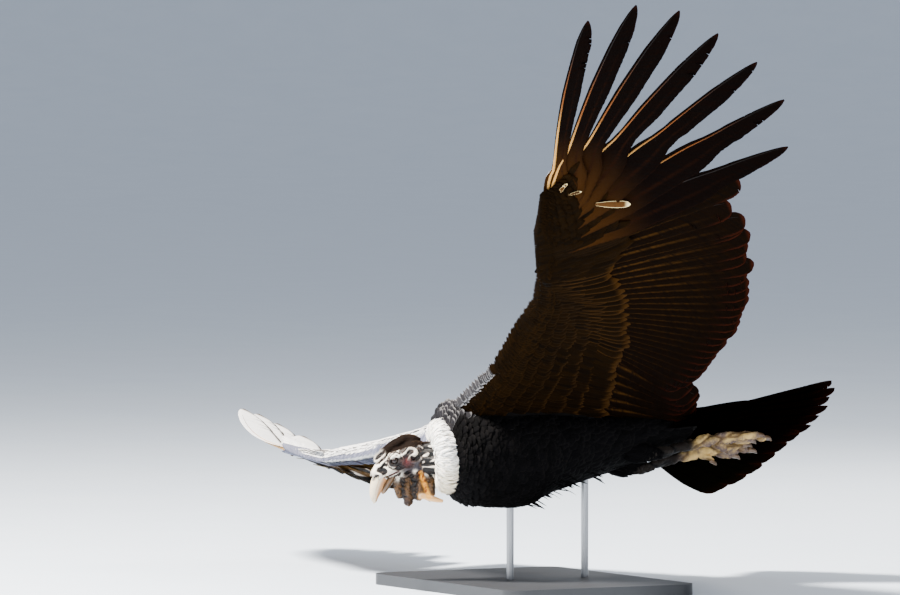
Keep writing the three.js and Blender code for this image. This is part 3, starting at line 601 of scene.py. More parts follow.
def foot_finish():
    finish = Finish("foot_skin", Specular_IOR_Level=0.15)
    scute, high, _ = finish.values("fold")
    fine, broad = finish.noise(350.0, 5.0), finish.noise(26.0, 4.0)
    # Broad noise mixes violet-grey painted shade with the cream skin, and fine noise adds painted
    # highlights.
    cream_with_painted_light = broad.between(0.38, 0.62).mix(rgb(102, 86, 80), rgb(212, 174, 106))
    cream_with_painted_light = fine.between(0.55, 0.85).mix(cream_with_painted_light, rgb(222, 200, 150))
    crease = fine.mix(rgb(58, 40, 24), rgb(100, 76, 48))
    tarsus = fine.mix(rgb(22, 18, 15), rgb(38, 32, 27))
    # Low places between scutes and in the crumples take the darker crease colours: painted shade.
    colour = high.mix(
        scute.between(0.12, 0.62).mix(crease, cream_with_painted_light),
        scute.between(0.2, 0.7).mix(rgb(11, 9, 8), tarsus),
    )
    return finish.done(colour, fine.line(0.25, 0.6), finish.bump(fine, 0.7, 0.0012))


def eye_finish():
    finish = Finish(
        "eye", Roughness=0.25, Specular_IOR_Level=0.25, Coat_Weight=0.25, Coat_Roughness=0.04,
    )
    turn, around, _ = finish.values("vane")
    fibres = finish.noise(9.0, 3.0, finish.node("CombineXYZ", around * 6.0, turn * 1.2))
    iris = fibres.mix(rgb(14, 7, 4), rgb(42, 20, 10))
    colour = turn.between(0.30, 0.33).mix(rgb(4, 3, 3), iris)
    return finish.done(turn.between(0.72, 0.80).mix(colour, rgb(26, 17, 13)))


def stand_finishes():
    paint = Finish("stand_paint", Specular_IOR_Level=0.5)
    speck, cloud = paint.noise(700.0, 2.0), paint.noise(6.0, 4.0)
    colour = cloud.mix(rgb(34, 35, 38), rgb(48, 49, 52))
    painted = paint.done(colour, cloud.line(0.18, 0.34), paint.bump(speck, 0.12, 0.0003))
    steel = Finish("stand_steel", Metallic=1.0)
    place = steel.node("Mapping", feeds={"Vector": steel.place(), "Scale": (400.0, 400.0, 6.0)})
    brushed = steel.noise(1.0, 4.0, place)
    colour = brushed.mix(rgb(120, 120, 122), rgb(176, 176, 178))
    return painted, steel.done(colour, brushed.line(0.22, 0.22), steel.bump(brushed, 0.15, 0.0004))


# Wing skeleton, worked out as a left wing

INNER_BOW = -0.10


def primary_bow(i):
    return float(np.interp(i, (FIRST_FINGER - 1, FIRST_FINGER, PRIMARIES - 1),
                           (INNER_BOW, 0.10, 0.16)))


def secondary_length(t):
    return lerp(0.440, 0.352, t**0.7)


def tertial_length(t):
    return lerp(0.366, 0.300, t)


def segment_frame(rise, twist):
    out = np.array([math.cos(rise), 0.0, math.sin(rise)])
    flat_up = np.array([-math.sin(rise), 0.0, math.cos(rise)])
    ahead = np.array([0.0, 1.0, 0.0])
    rear = ahead * math.cos(twist) - flat_up * math.sin(twist)
    up = flat_up * math.cos(twist) + ahead * math.sin(twist)
    return {"out": out, "rear": rear, "up": up}


class Wing:
    """Joints of one wing, and the place and lie of the feathers anywhere along it.

    A place along the wing runs from 0 at the shoulder to 1 at the wrist and 2 at the hand's end."""

    def __init__(self, pose, mirrored):
        self.pose = pose
        self.side = -1.0 if mirrored else 1.0
        self.arm = segment_frame(math.radians(pose["arm_rise"]), math.radians(pose["arm_twist"]))
        self.hand = segment_frame(math.radians(pose["hand_rise"]), math.radians(pose["hand_twist"]))
        sweep = math.radians(pose["arm_sweep"])
        self.wrist = self.reach(self.arm, SHOULDER, ARM["span"], sweep)
        self.elbow = self.reach(self.arm, SHOULDER, ARM["humerus"], sweep - 0.5)
        self.tip = self.reach(self.hand, self.wrist, HAND, math.radians(pose["hand_sweep"]))
        self.stations = self.make_stations()

    def reach(self, segment, start, length, sweep):
        outward = start + segment["out"] * length * math.cos(sweep)
        return outward - segment["rear"] * length * math.sin(sweep)

    def blend(self, t):
        return {key: unit(lerp(self.arm[key], self.hand[key], t)) for key in self.arm}

    def fanned(self, segment, degrees):
        angle = math.radians(degrees)
        return segment["out"] * math.sin(angle) + segment["rear"] * math.cos(angle)

    def primary(self, i):
        pose, t = self.pose, i / (PRIMARIES - 1)
        root = lerp(self.wrist, self.tip, 0.1 + 0.9 * t) + self.hand["rear"] * 0.020
        turn = float(np.interp(i, range(PRIMARIES), PRIMARY_TURN))
        fan = lerp(pose["inner"], pose["outer"], t ** pose["spread"]) + turn + pose["hand_sweep"]
        lift = math.radians(lerp(-pose["lift"], pose["lift"], t))
        direction = self.fanned(self.hand, fan) * math.cos(lift) + self.hand["up"] * math.sin(lift)
        return root, direction, self.hand["up"]

    def secondary(self, t):
        segment = self.blend(1 - t)
        root = lerp(self.wrist, self.elbow, t) + segment["rear"] * 0.015
        return root, self.fanned(segment, lerp(self.pose["wrist_fan"], self.pose["elbow_fan"],
                                               t)), segment["up"]

    def tertial(self, t):
        innermost = SHOULDER + self.arm["rear"] * 0.130 + self.arm["out"] * 0.010
        root = lerp(self.elbow, innermost, t) + self.arm["rear"] * 0.015
        return root, self.fanned(self.arm, lerp(self.pose["elbow_fan"], -8, t)), self.arm["up"]

    def flight(self, place):
        """Root, direction, normal, length and downward bow of the flight feathers at a place along
        the wing."""
        if place > 1:
            i = (place - 1) * (PRIMARIES - 1)
            return *self.primary(i), float(np.interp(i, range(PRIMARIES),
                                                     PRIMARY_LENGTH)), primary_bow(i)
        if place > ELBOW:
            t = (1 - place) / (1 - ELBOW)
            return *self.secondary(t), secondary_length(t), INNER_BOW
        t = 1 - max(place, 0.0) / ELBOW
        return *self.tertial(t), tertial_length(t), INNER_BOW

    def make_stations(self):
        """Front edge, rear edge, thickness and turn of the flesh, at places along the wing."""
        arm, hand = self.arm, self.hand
        front_root = SHOULDER - arm["rear"] * 0.126 + arm["up"] * 0.026
        rear_root = SHOULDER + arm["rear"] * 0.175
        front_wrist = self.wrist - arm["rear"] * 0.003
        rear_elbow = self.elbow + arm["rear"] * 0.062
        rear_wrist = self.wrist + hand["rear"] * 0.062
        inward = arm["out"] * -0.070
        middle = lerp(self.wrist, self.tip, 0.5)
        return [
            (-0.15, front_root + arm["up"] * 0.020 + inward, rear_root + inward, 0.084, 0.0),
            (0.0, front_root, rear_root, 0.080, 0.0),
            (0.3, lerp(front_root, front_wrist, 0.3) + arm["rear"] * 0.033,
             lerp(rear_root, rear_elbow, 0.5),
             0.066, 0.0),
            (0.6, lerp(front_root, front_wrist, 0.6) + arm["rear"] * 0.029, rear_elbow, 0.054, 0.0),
            (0.82, lerp(front_root, front_wrist, 0.82) + arm["rear"] * 0.027,
             lerp(rear_elbow, rear_wrist, 0.5),
             0.044, 0.4),
            (1.0, front_wrist, rear_wrist, 0.036, 0.7),
            (1.5, middle - hand["rear"] * 0.018, middle + hand["rear"] * 0.066, 0.022, 1.0),
            (2.0, self.tip - hand["rear"] * 0.008, self.tip + hand["rear"] * 0.052, 0.012, 1.0),
        ]

    def station(self, place):
        places = [row[0] for row in self.stations]
        i = int(np.clip(np.searchsorted(places, place) - 1, 0, len(places) - 2))
        t = (place - places[i]) / (places[i + 1] - places[i])
        front, rear, thick, turn = (lerp(self.stations[i][k], self.stations[i + 1][k], t)
                                    for k in (1, 2, 3, 4))
        return front, rear, thick, self.blend(turn)["up"]

    def surface(self, place, chord, face):
        """Point on the flesh, at a share of the chord, above (face 1) or below (face -1)."""
        front, rear, thick, up = self.station(place)
        height = sample(CHORD_ABOVE if face > 0 else CHORD_BELOW, chord)
        return lerp(front, rear, chord) + up * height * thick

    def rings(self, inset):
        rows = []
        for place in np.linspace(-0.15, 2.0, 44):
            front, rear, thick, up = self.station(place)
            size = max(thick - 2 * inset, 0.003)
            rows.append([lerp(front, rear, 0.05 + 0.92 * c) + up * h * size for c,
                         h in CHORD_ABOVE[1:] + CHORD_BELOW[:1:-1]])
        return np.array(rows) * (self.side, 1, 1)


CHORD_ABOVE = ((-0.04, -0.24), (0.0, 0.1), (0.04, 0.44), (0.3, 0.62), (0.65, 0.42), (1.0, 0.1))
CHORD_BELOW = (
    (-0.04, 0.26), (-0.02, 0.08), (0.0, -0.10), (0.06, -0.34), (0.3, -0.38), (0.65, -0.2),
    (1.0, -0.1),
)


# Vanes

SLIT = 0.0013  # half the width of a slit in a worn edge


def shell_faces(rows, columns):
    """Faces of a thin closed blade: an upper sheet, a lower sheet and the rim between them."""
    index = np.arange((rows + 1) * (columns + 1)).reshape(rows + 1, columns + 1)
    top = np.stack([index[:-1, :-1], index[:-1, 1:], index[1:, 1:], index[1:, :-1]], -1).reshape(-1,
            4)
    rim = np.concatenate([index[0], index[1:, -1], index[-1, -2::-1], index[-2:0:-1, 0]])
    following = np.roll(rim, -1)
    edge = np.stack([following, rim, rim + index.size, following + index.size], -1)
    return np.concatenate([top, top[:, ::-1] + index.size, edge])


SECONDARY_OUTLINE = (
    (0, 0.2), (0.08, 0.42), (0.3, 0.86), (0.6, 0.98), (0.85, 1), (0.93, 0.92), (0.97, 0.74),
    (0.99, 0.5), (1, 0.14),
)
COVERT_OUTLINE = ((0, 0.35), (0.3, 0.8), (0.6, 1), (0.82, 0.94), (0.93, 0.7), (0.98, 0.4),
                  (1, 0.12))
RECTRIX_OUTLINE = ((0, 0.25), (0.25, 0.7), (0.65, 1), (0.88, 0.98), (0.95, 0.84), (0.985, 0.6),
                   (1, 0.3))
LOCK_OUTLINE = ((0, 0.5), (0.3, 1), (0.7, 0.8), (1, 0.08))


def finger_outline(notch, waist):
    belly = min(waist + 0.13, 0.59)
    return (
        (0, 0.55), (notch * 0.5, 1), (notch, 0.95), (notch + 0.05, 0.86),
        (notch + 0.10, waist + 0.09),
        (notch + 0.16, waist), (max(0.62, notch + 0.19), belly), (0.82, belly - 0.05), (0.90, 0.41),
        (0.96, 0.26),
        (0.985, 0.15), (1, 0.04),
    )


# The far hand is closed into one rounded blade.
BLUNT_OUTLINE = ((0, 0.55), (0.1, 0.9), (0.4, 1), (0.75, 0.9), (0.88, 0.76), (0.95, 0.56),
                 (0.985, 0.34), (1, 0.1))


def vanes(batch, places, length, width, outline, rows, columns, bake, *, tilt=9.0, rise=0.1,
          sweep=0.0,
          share=0.4, quill=0.3, camber=0.08, thick=0.0010, wear=None, tone=None, curl=0.0, low=None,
          face=1):
    """Adds blades to a batch. places holds roots, directions, normals and leading sides, each (n,
    3).

    The rows slant back from the quill like barbs. wear gives the place of each row and how deep it
    is
    cut in from the edge. curl turns the blade's tip down its normal. bake gives each blade's
    corner and
    size in the bake map. face is 1 where the sheet on the normal's side is the one that shows."""
    root, direction, normal, lead = (np.asarray(v, float)[:, None, None, :] for v in places)
    count = len(length)
    span = np.asarray(length, float)[:, None, None]
    wide = np.asarray(width, float)[:, None, None]
    t, cut = wear or (np.linspace(0, 1, rows + 1)[None], None)
    t = t[:, :, None]
    w = np.linspace(-1, 1, columns + 1)[None, None, :]
    web = np.where(w > 0, quill, 1 - quill)
    slant = 0.7 * (1 - t**4) * np.abs(w) * web * sample(outline, t) * wide / span
    s = t + slant
    breadth = sample(outline, s)
    if cut is not None:
        breadth = breadth * (1 - cut[:, :, None] * np.where(w < 0, np.abs(w) ** 3,
                0.25 * np.abs(w) ** 3))
    across = breadth * wide * (share - quill + w * web)
    angle = np.radians(tilt)
    over = (lead * np.cos(angle) + normal * np.sin(angle))
    up = (normal * np.cos(angle) - lead * np.sin(angle))
    bow = (s * (1 - s) * span)[..., None]
    height = (-camber * breadth * wide * web * w**2 - curl * s**2 * span)[..., None]
    middle = root + direction * (s * span)[..., None] - normal * rise * bow + lead * sweep * bow
    sheet = middle + over * across[..., None] + up * height
    half = (thick * (1 - 0.6 * np.abs(w)) * (1 - 0.5 * s) / 2)[..., None]
    points = np.stack([sheet + up * half, sheet - up * half], 1)
    faces = shell_faces(rows, columns)
    blade_size = 2 * (rows + 1) * (columns + 1)
    flipped = np.einsum("ij,ij->i", np.cross(lead[:, 0, 0], direction[:, 0, 0]),
                        normal[:, 0, 0]) < 0
    both = np.where(flipped[:, None, None], faces[None, :, ::-1], faces[None])
    both = both + (np.arange(count) * blade_size)[:, None, None]
    tone = np.zeros(count) if tone is None else tone
    shape = points.shape[:-1]
    vane = packed(s[:, None], w[:, None], tone[:, None, None, None])
    if low is None:
        sheet_mark = np.array([1.0, -1.0])[None, :, None, None]
    else:
        hidden = np.array([0.0, -2.0] if face > 0 else [-2.0, 0.0])
        sheet_mark = low[:, None, None, None] + hidden[None, :, None, None]
    from_quill = np.abs(across - breadth * wide * (share - quill))
    metric = packed((s * span)[:, None], from_quill[:, None], sheet_mark * np.ones(shape))
    corner, cell = bake
    corner = np.asarray(corner)[:, None, None, None, :]
    half_cell = np.array([0.0, 1.0])[None, :, None, None] if cell[2] else np.zeros((1, 2, 1, 1))
    u = corner[..., 0] + cell[0] * ((w[:, None] + 1) / 2 + half_cell)
    v = corner[..., 1] + cell[1] * s[:, None]
    patch = packed(u, v, np.ones(shape))[..., :2]
    vane = np.broadcast_to(vane, shape + (3,))
    batch.add(points, both.reshape(-1, 4), patch, vane=vane, metric=metric)


def tufts(batch, lie, length, width, outline, grid, at, chosen=None, **look):
    """Adds small feathers, or those that a mask picks, each with one patch of the bake map."""
    chosen = np.ones(len(length), bool) if chosen is None else chosen
    if not chosen.any():
        return
    look = {"share": 0.5, "quill": 0.5, **look}
    for key in ("tone", "low"):
        look[key] = look[key][chosen]
    bake = packed(*at)[chosen], (PATCH, PATCH, False)
    vanes(batch, [v[chosen] for v in lie], length[chosen], width[chosen], outline, *grid, bake,
          **look)


SHAFT = {"rows": 26, "sides": 6, "start": -0.008, "end": 0.97, "taper": 0.88, "sunk": 0.35,
         "flat": 0.9}


def quills(batch, places, length, width, outline, *, tilt, rise, sweep, share, quill, radius, tone):
    """Adds the tapering shafts of a set of flight feathers, standing out a little below the
    vanes."""
    angle, turn = math.radians(tilt), circle(SHAFT["sides"])
    s = np.linspace(SHAFT["start"], SHAFT["end"], SHAFT["rows"] + 1)[:, None]
    size = radius * (1 - SHAFT["taper"] * s)
    last = SHAFT["rows"] * SHAFT["sides"]
    ends = [[3, 2, 1, 0], [5, 4, 3, 0]]
    ends += [[last, last + 1, last + 2, last + 3], [last, last + 3, last + 4, last + 5]]
    faces = np.concatenate([tube_faces(SHAFT["rows"] + 1, SHAFT["sides"]), ends])
    for k, (root, direction, normal, lead) in enumerate(zip(*places)):
        bow = s * (1 - s) * length[k]
        over = lead * math.cos(angle) + normal * math.sin(angle)
        up = normal * math.cos(angle) - lead * math.sin(angle)
        middle = root + direction * s * length[k] - normal * rise * bow + lead * sweep * bow
        middle = middle + over * (sample(outline, s) * width[k] * (share - quill))
        ring = over * np.cos(turn)[:, None] * SHAFT["flat"] + up * np.sin(turn)[:, None]
        points = (middle - up * size * SHAFT["sunk"])[:, None] + ring * size[:, :, None]
        flipped = np.dot(np.cross(over, direction), up) > 0
        column = k / len(length) + 0.8 / len(length) * turn / 7
        batch.add(points, faces[:, ::-1] if flipped else faces, packed(column, 0.02 + 0.9 * s),
                  vane=packed(s, turn, tone[k]))


def feathers(batch, shafts, places, length, width, outline, rows, columns, bake, *, radius,
             shaft_tone, tone, wear, thick, **lie):
    """Adds flight feathers to one batch and their shafts to another."""
    lie = {"tilt": 9.0, "sweep": 0.0, "share": 0.4} | lie
    vanes(batch, places, length, width, outline, rows, columns, bake, tone=tone, wear=wear,
          thick=thick, **lie)
    quills(shafts, places, length, width, outline, radius=radius, tone=shaft_tone, **lie)


def worn(draws, length, rows, slits, start, depth, ragged=0.04):
    """Place of each row on each blade and how deep it is cut, with thin slits from start to the
    tip."""
    count = len(length)
    t = np.tile(np.linspace(0, 1, rows + 1), (count, 1))
    cut = draws.random((count, rows + 1)) * ragged
    choices = np.arange(int(start * rows), rows - 2, 3)
    for k in range(count):
        for row in draws.choice(choices, min(draws.poisson(slits), len(choices)), replace=False):
            t[k, row - 1], t[k, row + 1] = t[k, row] - SLIT / length[k], t[k,
                    row] + SLIT / length[k]
            cut[k, row] = draws.uniform(0.3, 1.0) * depth
    return t, cut


def stacked(rows, side):
    """Roots, directions, normals and leading sides of feathers, mirrored for a right wing."""
    root, direction, normal = (np.asarray(v) * (side, 1, 1) for v in zip(*rows))
    return root, unit(direction), unit(normal), unit(np.cross(direction, normal)) * side


def atlas(first, count, total):
    """Corners and size of cells for large feathers in the bake map, two halves to a cell."""
    columns = 8
    lines = math.ceil(total / columns)
    cells = np.arange(first, first + count)
    corners = np.stack([(cells % columns) / columns + 0.004, (cells // columns) / lines + 0.004],
                       -1)
    return corners, (0.46 / columns, 0.94 / lines, True)


def flight_feathers(wing, name, finish, hand_finish, finger_finish, quill_look):
    left = wing.side > 0
    draws = np.random.default_rng(SEEDS["flight_left" if left else "flight_right"])
    inner, hand, fingers, shafts = (Batch() for _ in range(4))
    total = PRIMARIES + SECONDARIES + TERTIALS
    for i, length in enumerate(PRIMARY_LENGTH):
        tone = draws.random(1)
        look = {"rise": primary_bow(i), "quill": 0.28}
        outline, width, slits, paleness = SECONDARY_OUTLINE, 0.066, 0.6, tone
        if i >= FIRST_FINGER:
            finger = i - FIRST_FINGER
            look |= {"sweep": 0.14, "share": 0.34, "quill": 0.13}
            slits, paleness = 2.5, FINGER_WARM[finger] + 0.4 * tone
            outline, width = BLUNT_OUTLINE, 0.112
            if left:
                outline, width = finger_outline(FINGER_NOTCH[finger], FINGER_WAIST[finger]), 0.078
        wear = worn(draws, [length], 110, slits, 0.72, 0.75)
        if not left and i >= FIRST_FINGER:
            length, look["share"] = length * 0.98, 0.26
        # The far wing's outer feathers take the silver of painted sun glare above, right to the
        # tip.
        batch = fingers if i >= (FIRST_FINGER if left else FAR_PALE) else hand
        feathers(batch, shafts, stacked([wing.primary(i)], wing.side), [length], [width], outline,
                 110, 10, atlas(i, 1, total), radius=0.0037, shaft_tone=paleness, tone=tone,
                 wear=wear, thick=0.0016, **look)
    shares = 1 - np.arange(SECONDARIES) / (SECONDARIES - 1)
    length = secondary_length(shares) * draws.uniform(0.975, 1.02, SECONDARIES)
    last_shares = 1 - np.arange(TERTIALS) / TERTIALS
    last_length = tertial_length(last_shares) * draws.uniform(0.97, 1.02, TERTIALS)
    for lie, places, size, width, first in (
        (wing.secondary, shares, length, 0.058, PRIMARIES),
        (wing.tertial, last_shares, last_length, 0.072, PRIMARIES + SECONDARIES),
    ):
        count = len(size)
        tone = draws.random(count)
        feathers(inner, shafts, stacked([lie(t) for t in places], wing.side), size,
                 np.full(count, width), SECONDARY_OUTLINE, 64, 8, atlas(first, count, total),
                 radius=0.0020, shaft_tone=tone, tone=tone,
                 wear=worn(draws, size, 64, 0.8, 0.86, 0.5), thick=0.0013, rise=INNER_BOW,
                 quill=0.3)
    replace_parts(inner.build(f"{name}_flight", finish), name)
    hand.build(f"{name}_hand", hand_finish)
    fingers.build(f"{name}_fingers", finger_finish)
    shafts.build(f"{name}_quills", quill_look, "horn")


# Rows of coverts: share of the chord, length, width, how many, and how far the rim stands out in
# colour.
ABOVE_ROWS = (
    (0.72, 0.160, 0.040, 58, 0.3), (0.56, 0.118, 0.036, 66, 0.3), (0.42, 0.086, 0.032, 76, 0.3),
    (0.29, 0.064, 0.028, 88, 0.3), (0.18, 0.050, 0.025, 100, 0.2), (0.09, 0.042, 0.022, 110, 0.2),
    (0.03, 0.036, 0.020, 116, 0.1),
)
BELOW_ROWS = (
    (0.74, 0.112, 0.027, 88, 0.52), (0.62, 0.084, 0.026, 90, 0.44), (0.50, 0.066, 0.025, 94, 0.2),
    (0.38, 0.054, 0.023, 100, 0.2), (0.27, 0.045, 0.021, 110, 0.12),
    (0.16, 0.037, 0.020, 118, 0.10),
    (0.07, 0.032, 0.018, 120, 0.10),
)
FRONT_ROWS = (
    (0.015, 0.030, 0.016, 150, 0.1), (-0.005, 0.028, 0.015, 160, 0.1),
    (-0.025, 0.026, 0.014, 170, 0.1),
    (-0.038, 0.024, 0.014, 176, 0.1),
)
FRONT_OUTLINE = ((0, 0.05), (0.25, 0.55), (0.6, 1), (0.82, 0.94), (0.93, 0.7), (0.98, 0.4),
                 (1, 0.12))
SHOULDER_LIT = 0.26  # place along the left wing up to which its front edge has broad rims of painted silver highlight
LESSER = 0.2  # share of the chord in front of which the left wing is dark above
CLEAR = 0.0075  # height of the coverts over the middle of the flight feathers
HAND_STRETCH = ((1.0, 1.0), (1.2, 1.45), (2.0, 1.25))


def covert_lie(wing, place, chord, face, length, layer):
    """Root, direction and normal of a covert whose tip rests on the flesh or the flight
    feathers."""
    base, along, normal, reach, bow = wing.flight(place)
    root = wing.surface(place, chord, face)
    rear = wing.surface(place, 1.0, face)
    start, high = np.dot(root - base, along), np.dot(root - base, normal)
    end = np.dot(rear - base, along)
    tip = start + length
    share = np.clip(tip / reach, 0.0, 1.0)
    rest = -bow * share * (1 - share) * reach + face * CLEAR
    under_tip = lerp(chord, 1.0, np.clip(length / max(end - start, 0.02), 0.0, 1.0))
    flesh = np.dot(wing.surface(place, under_tip, face) - base, normal)
    top = max(flesh * face, rest * face) * face + face * (0.0015 + 0.0006 * layer)
    direction = unit(along * length + normal * (top - high))
    lifted = unit(normal - direction * np.dot(normal, direction))
    return root - lifted * face * 0.002, direction, lifted


def coverts(wing, name, face, finish, painted_light_finish, lesser_finish=None):
    """Rows of small feathers over (face 1) or under (face -1) the wing, each lying on the next."""
    left = wing.side > 0
    draws = np.random.default_rng(COVERT_SEEDS[wing.side, face])
    batch, front, leading, lesser = (Batch() for _ in range(4))
    table, far = ABOVE_ROWS if face > 0 else BELOW_ROWS, 1.97
    rims = ((1.0, 1.0), (1.1, 0.15)) if face < 0 else ((0.0, 1.0),)
    if (face > 0) != left:
        table = table + FRONT_ROWS
    elif face > 0:
        table, far = table[:-1], 1.88
    for layer, (chord, length, width, count, rim) in enumerate(table):
        places = lerp(-0.1, far, (np.arange(count) + draws.uniform(0.3, 0.7, count)) / count)
        chords = chord + draws.uniform(-0.018, 0.018, count) * (1.0 if chord > 0.02 else 0.3)
        size = length * draws.uniform(0.92, 1.08, count) * sample(HAND_STRETCH, places)
        rows = [covert_lie(wing, p, c, face, n, layer) for p, c, n in zip(places, chords, size)]
        width = width * draws.uniform(0.9, 1.15, count)
        tone = draws.random(count)
        wear = worn(draws, size, 7, 0.3, 0.4, 0.25)
        lies = stacked(rows, wing.side)
        at = 0.03 + 0.9 * (places + 0.1) / 2.1, 0.05 + 0.88 * np.clip(chords, 0, 1)
        # edge picks the feathers that carry painted light: the near wing's foremost row by the
        # shoulder, with painted silver highlights, and the far wing's front rows, with a painted
        # shade band.
        if left:
            edge = (places < SHOULDER_LIT) & (chord < -0.03)
        else:
            edge = np.full(count, chord < (-0.02 if face > 0 else 0.3))
        plain = 0.05 if chord < -0.02 else rim * sample(rims, places)
        # Broad light rims on the near shoulder's edge feathers: painted highlight.
        low = np.where(edge & left, 0.9, plain)
        dark = ((places > 1.05) | (chord < LESSER)) & (lesser_finish is not None) & ~edge
        first = np.full(count, chord < -0.02) & ~edge
        for made, chosen in (
            (batch, ~edge & ~dark & ~first), (front, edge), (lesser, dark), (leading, first),
        ):
            tufts(made, lies, size, width, COVERT_OUTLINE if chord > 0.02 else FRONT_OUTLINE,
                  (7, 4),
                  at, chosen, tilt=6.0, rise=-0.06 * face, quill=0.45, camber=0.10 * face,
                  thick=0.0008, tone=tone, wear=[v[chosen] for v in wear], low=low, face=face)
    kind = "upper" if face > 0 else "under"
    batch.build(f"{name}_coverts_{kind}", finish)
    # The front pieces hold the feathers with painted light.
    front.build(f"{name}_front_{kind}", painted_light_finish)
    leading.build(f"{name}_leading_{kind}", finish)
    lesser.build(f"{name}_coverts_lesser", lesser_finish)


# Pale feather bases that show under the hand: place along the wing, distance out, turn, length,
# width.
PALE_BASES = (
    (1.56, 0.128, 50, 0.074, 0.019), (1.99, 0.042, 30, 0.026, 0.007),
    (1.95, 0.046, 10, 0.022, 0.006),
    (1.82, 0.072, 50, 0.030, 0.007),
)


def pale_bases(wing, name, finish):
    draws = np.random.default_rng(SEEDS["pale_bases"])
    rows = []
    for place, away, turn, _, _ in PALE_BASES:
        base, along, normal, reach, bow = wing.flight(place)
        share = away / reach
        angle = math.radians(turn)
        direction = along * math.cos(angle) - np.cross(along, normal) * math.sin(angle)
        root = base + along * away - normal * (bow * share * (1 - share) * reach + CLEAR + 0.006)
        rows.append((root, unit(direction - normal * 0.03), normal))
    size, width = np.array(PALE_BASES)[:, 3:].T
    batch = Batch()
    corners = draws.uniform(0.3, 0.7, (len(size), 2))
    tufts(batch, stacked(rows, wing.side), size, width, COVERT_OUTLINE, (10, 6), corners.T,
          tilt=6.0, rise=0.06, quill=0.45, camber=-0.16, thick=0.0009, tone=draws.random(len(size)),
          wear=worn(draws, size, 10, 1.0, 0.4, 0.3), low=np.full(len(size), 1.0), face=-1)
    batch.build(f"{name}_pale_bases", finish, "plumage_white")


def alula(wing, name, finish):
    draws = np.random.default_rng(SEEDS["alula"])
    batch = Batch()
    rows, sizes = [], []
    for i in range(4):
        root = wing.wrist + wing.hand["rear"] * (0.004 - i * 0.003)
        root = root + wing.hand["up"] * (0.004 + i * 0.003)
        root = root + wing.hand["out"] * (0.012 - i * 0.005)
        rows.append((root, wing.fanned(wing.hand, 84 - i * 2), wing.hand["up"]))
        sizes.append(0.150 - i * 0.022)
    vanes(batch, stacked(rows, wing.side), sizes, np.full(4, 0.027), COVERT_OUTLINE, 20, 6,
          atlas(0, 4, 8),
          thick=0.0012, tone=draws.random(4), wear=worn(draws, sizes, 20, 1.0, 0.5, 0.3))
    batch.build(f"{name}_alula", finish)


# Trunk

TRUNK_FINE = refine(TRUNK, 12)


def trunk_point(y, angle, grow=0.0):
    """Point on the trunk at a place along it and an angle from its left side towards its back."""
    axis, half, up, down = (np.interp(y, TRUNK_FINE[:, 0], TRUNK_FINE[:, k]) for k in (1, 2, 3, 4))
    rise = np.sin(angle)
    height = np.where(rise >= 0, up + grow, down + grow)
    return np.stack([np.cos(angle) * (half + grow), y + 0 * angle, axis + rise * height], -1)


def trunk_coat(finish, mantle_look):
    """Small feathers in overlapping rows over the trunk, larger towards the tail."""
    draws = np.random.default_rng(SEEDS["trunk"])
    batches = {"breast": Batch(), "belly": Batch(), "mantle": Batch()}
    profile = np.stack([TRUNK_FINE[:, 0], TRUNK_FINE[:, 2:5].mean(1)], -1)
    run = walked(profile)
    place, row = 0.002, 0
    while place < run[-1]:
        y = float(np.interp(place, run, profile[:, 0]))
        half = float(np.interp(place, run, profile[:, 1]))
        spacing = lerp(0.0105, 0.0185, smooth(-0.30, 0.20, y))
        count = max(int(2 * math.pi * half / spacing), 14)
        angle = (np.arange(count) + 0.5 * (row % 2)
                 + draws.uniform(-0.2, 0.2, count)) / count * 2 * math.pi
        spots = np.clip(place + draws.uniform(-0.25, 0.25, count) * spacing, 0.0, run[-1])
        along = np.interp(spots, run, profile[:, 0])
        ahead = np.interp(np.minimum(spots + 0.003, run[-1]), run, profile[:, 0])
        behind = np.interp(np.minimum(spots + 0.003, run[-1]) - 0.003, run, profile[:, 0])
        root = trunk_point(along, angle, -COAT)
        direction = unit(trunk_point(ahead, angle, -COAT) - trunk_point(behind, angle, -COAT))
        around = trunk_point(along, angle + 0.02, -COAT) - root
        normal = unit(np.cross(direction, around))
        normal = normal * np.sign(np.einsum("ij,ij->i", normal, root * (1, 0, 1)))[:, None]
        direction = unit(direction + normal * draws.uniform(0.045, 0.10, count)[:, None])
        normal = squared(normal, direction)
        lead = np.cross(direction, normal) * np.sign(np.cos(angle))[:, None]
        size = spacing * draws.uniform(2.5, 3.1, count)
        width = spacing * draws.uniform(1.7, 2.1, count)
        tone = draws.random(count)
        at = 0.03 + 0.9 * (angle / (2 * math.pi) % 1), 0.03 + 0.9 * (along + 0.30) / 0.58
        back = (np.sin(angle) > 0.5) & (y < 0.02)
        # Mantle rims stand out most on the left side near the shoulder: painted sheen.
        low = np.where(back, 0.08 * tone + 0.5 * (np.cos(angle) > 0.1) * smooth(-0.13, -0.19, y),
                       0.6 * tone)
        for key, chosen in (("mantle", back), ("breast" if y < -0.09 else "belly", ~back)):
            tufts(batches[key], (root, direction, normal, lead), size, width, COVERT_OUTLINE,
                  (5, 4),
                  at, chosen, tilt=3.0, rise=-0.05, camber=0.08, thick=0.0007, tone=tone,
                  wear=worn(draws, size[chosen], 5, 0.2, 0.4, 0.25), low=low)
        place += spacing * 0.85
        row += 1
    for key, batch in batches.items():
        batch.build(f"trunk_{key}", mantle_look if key == "mantle" else finish)


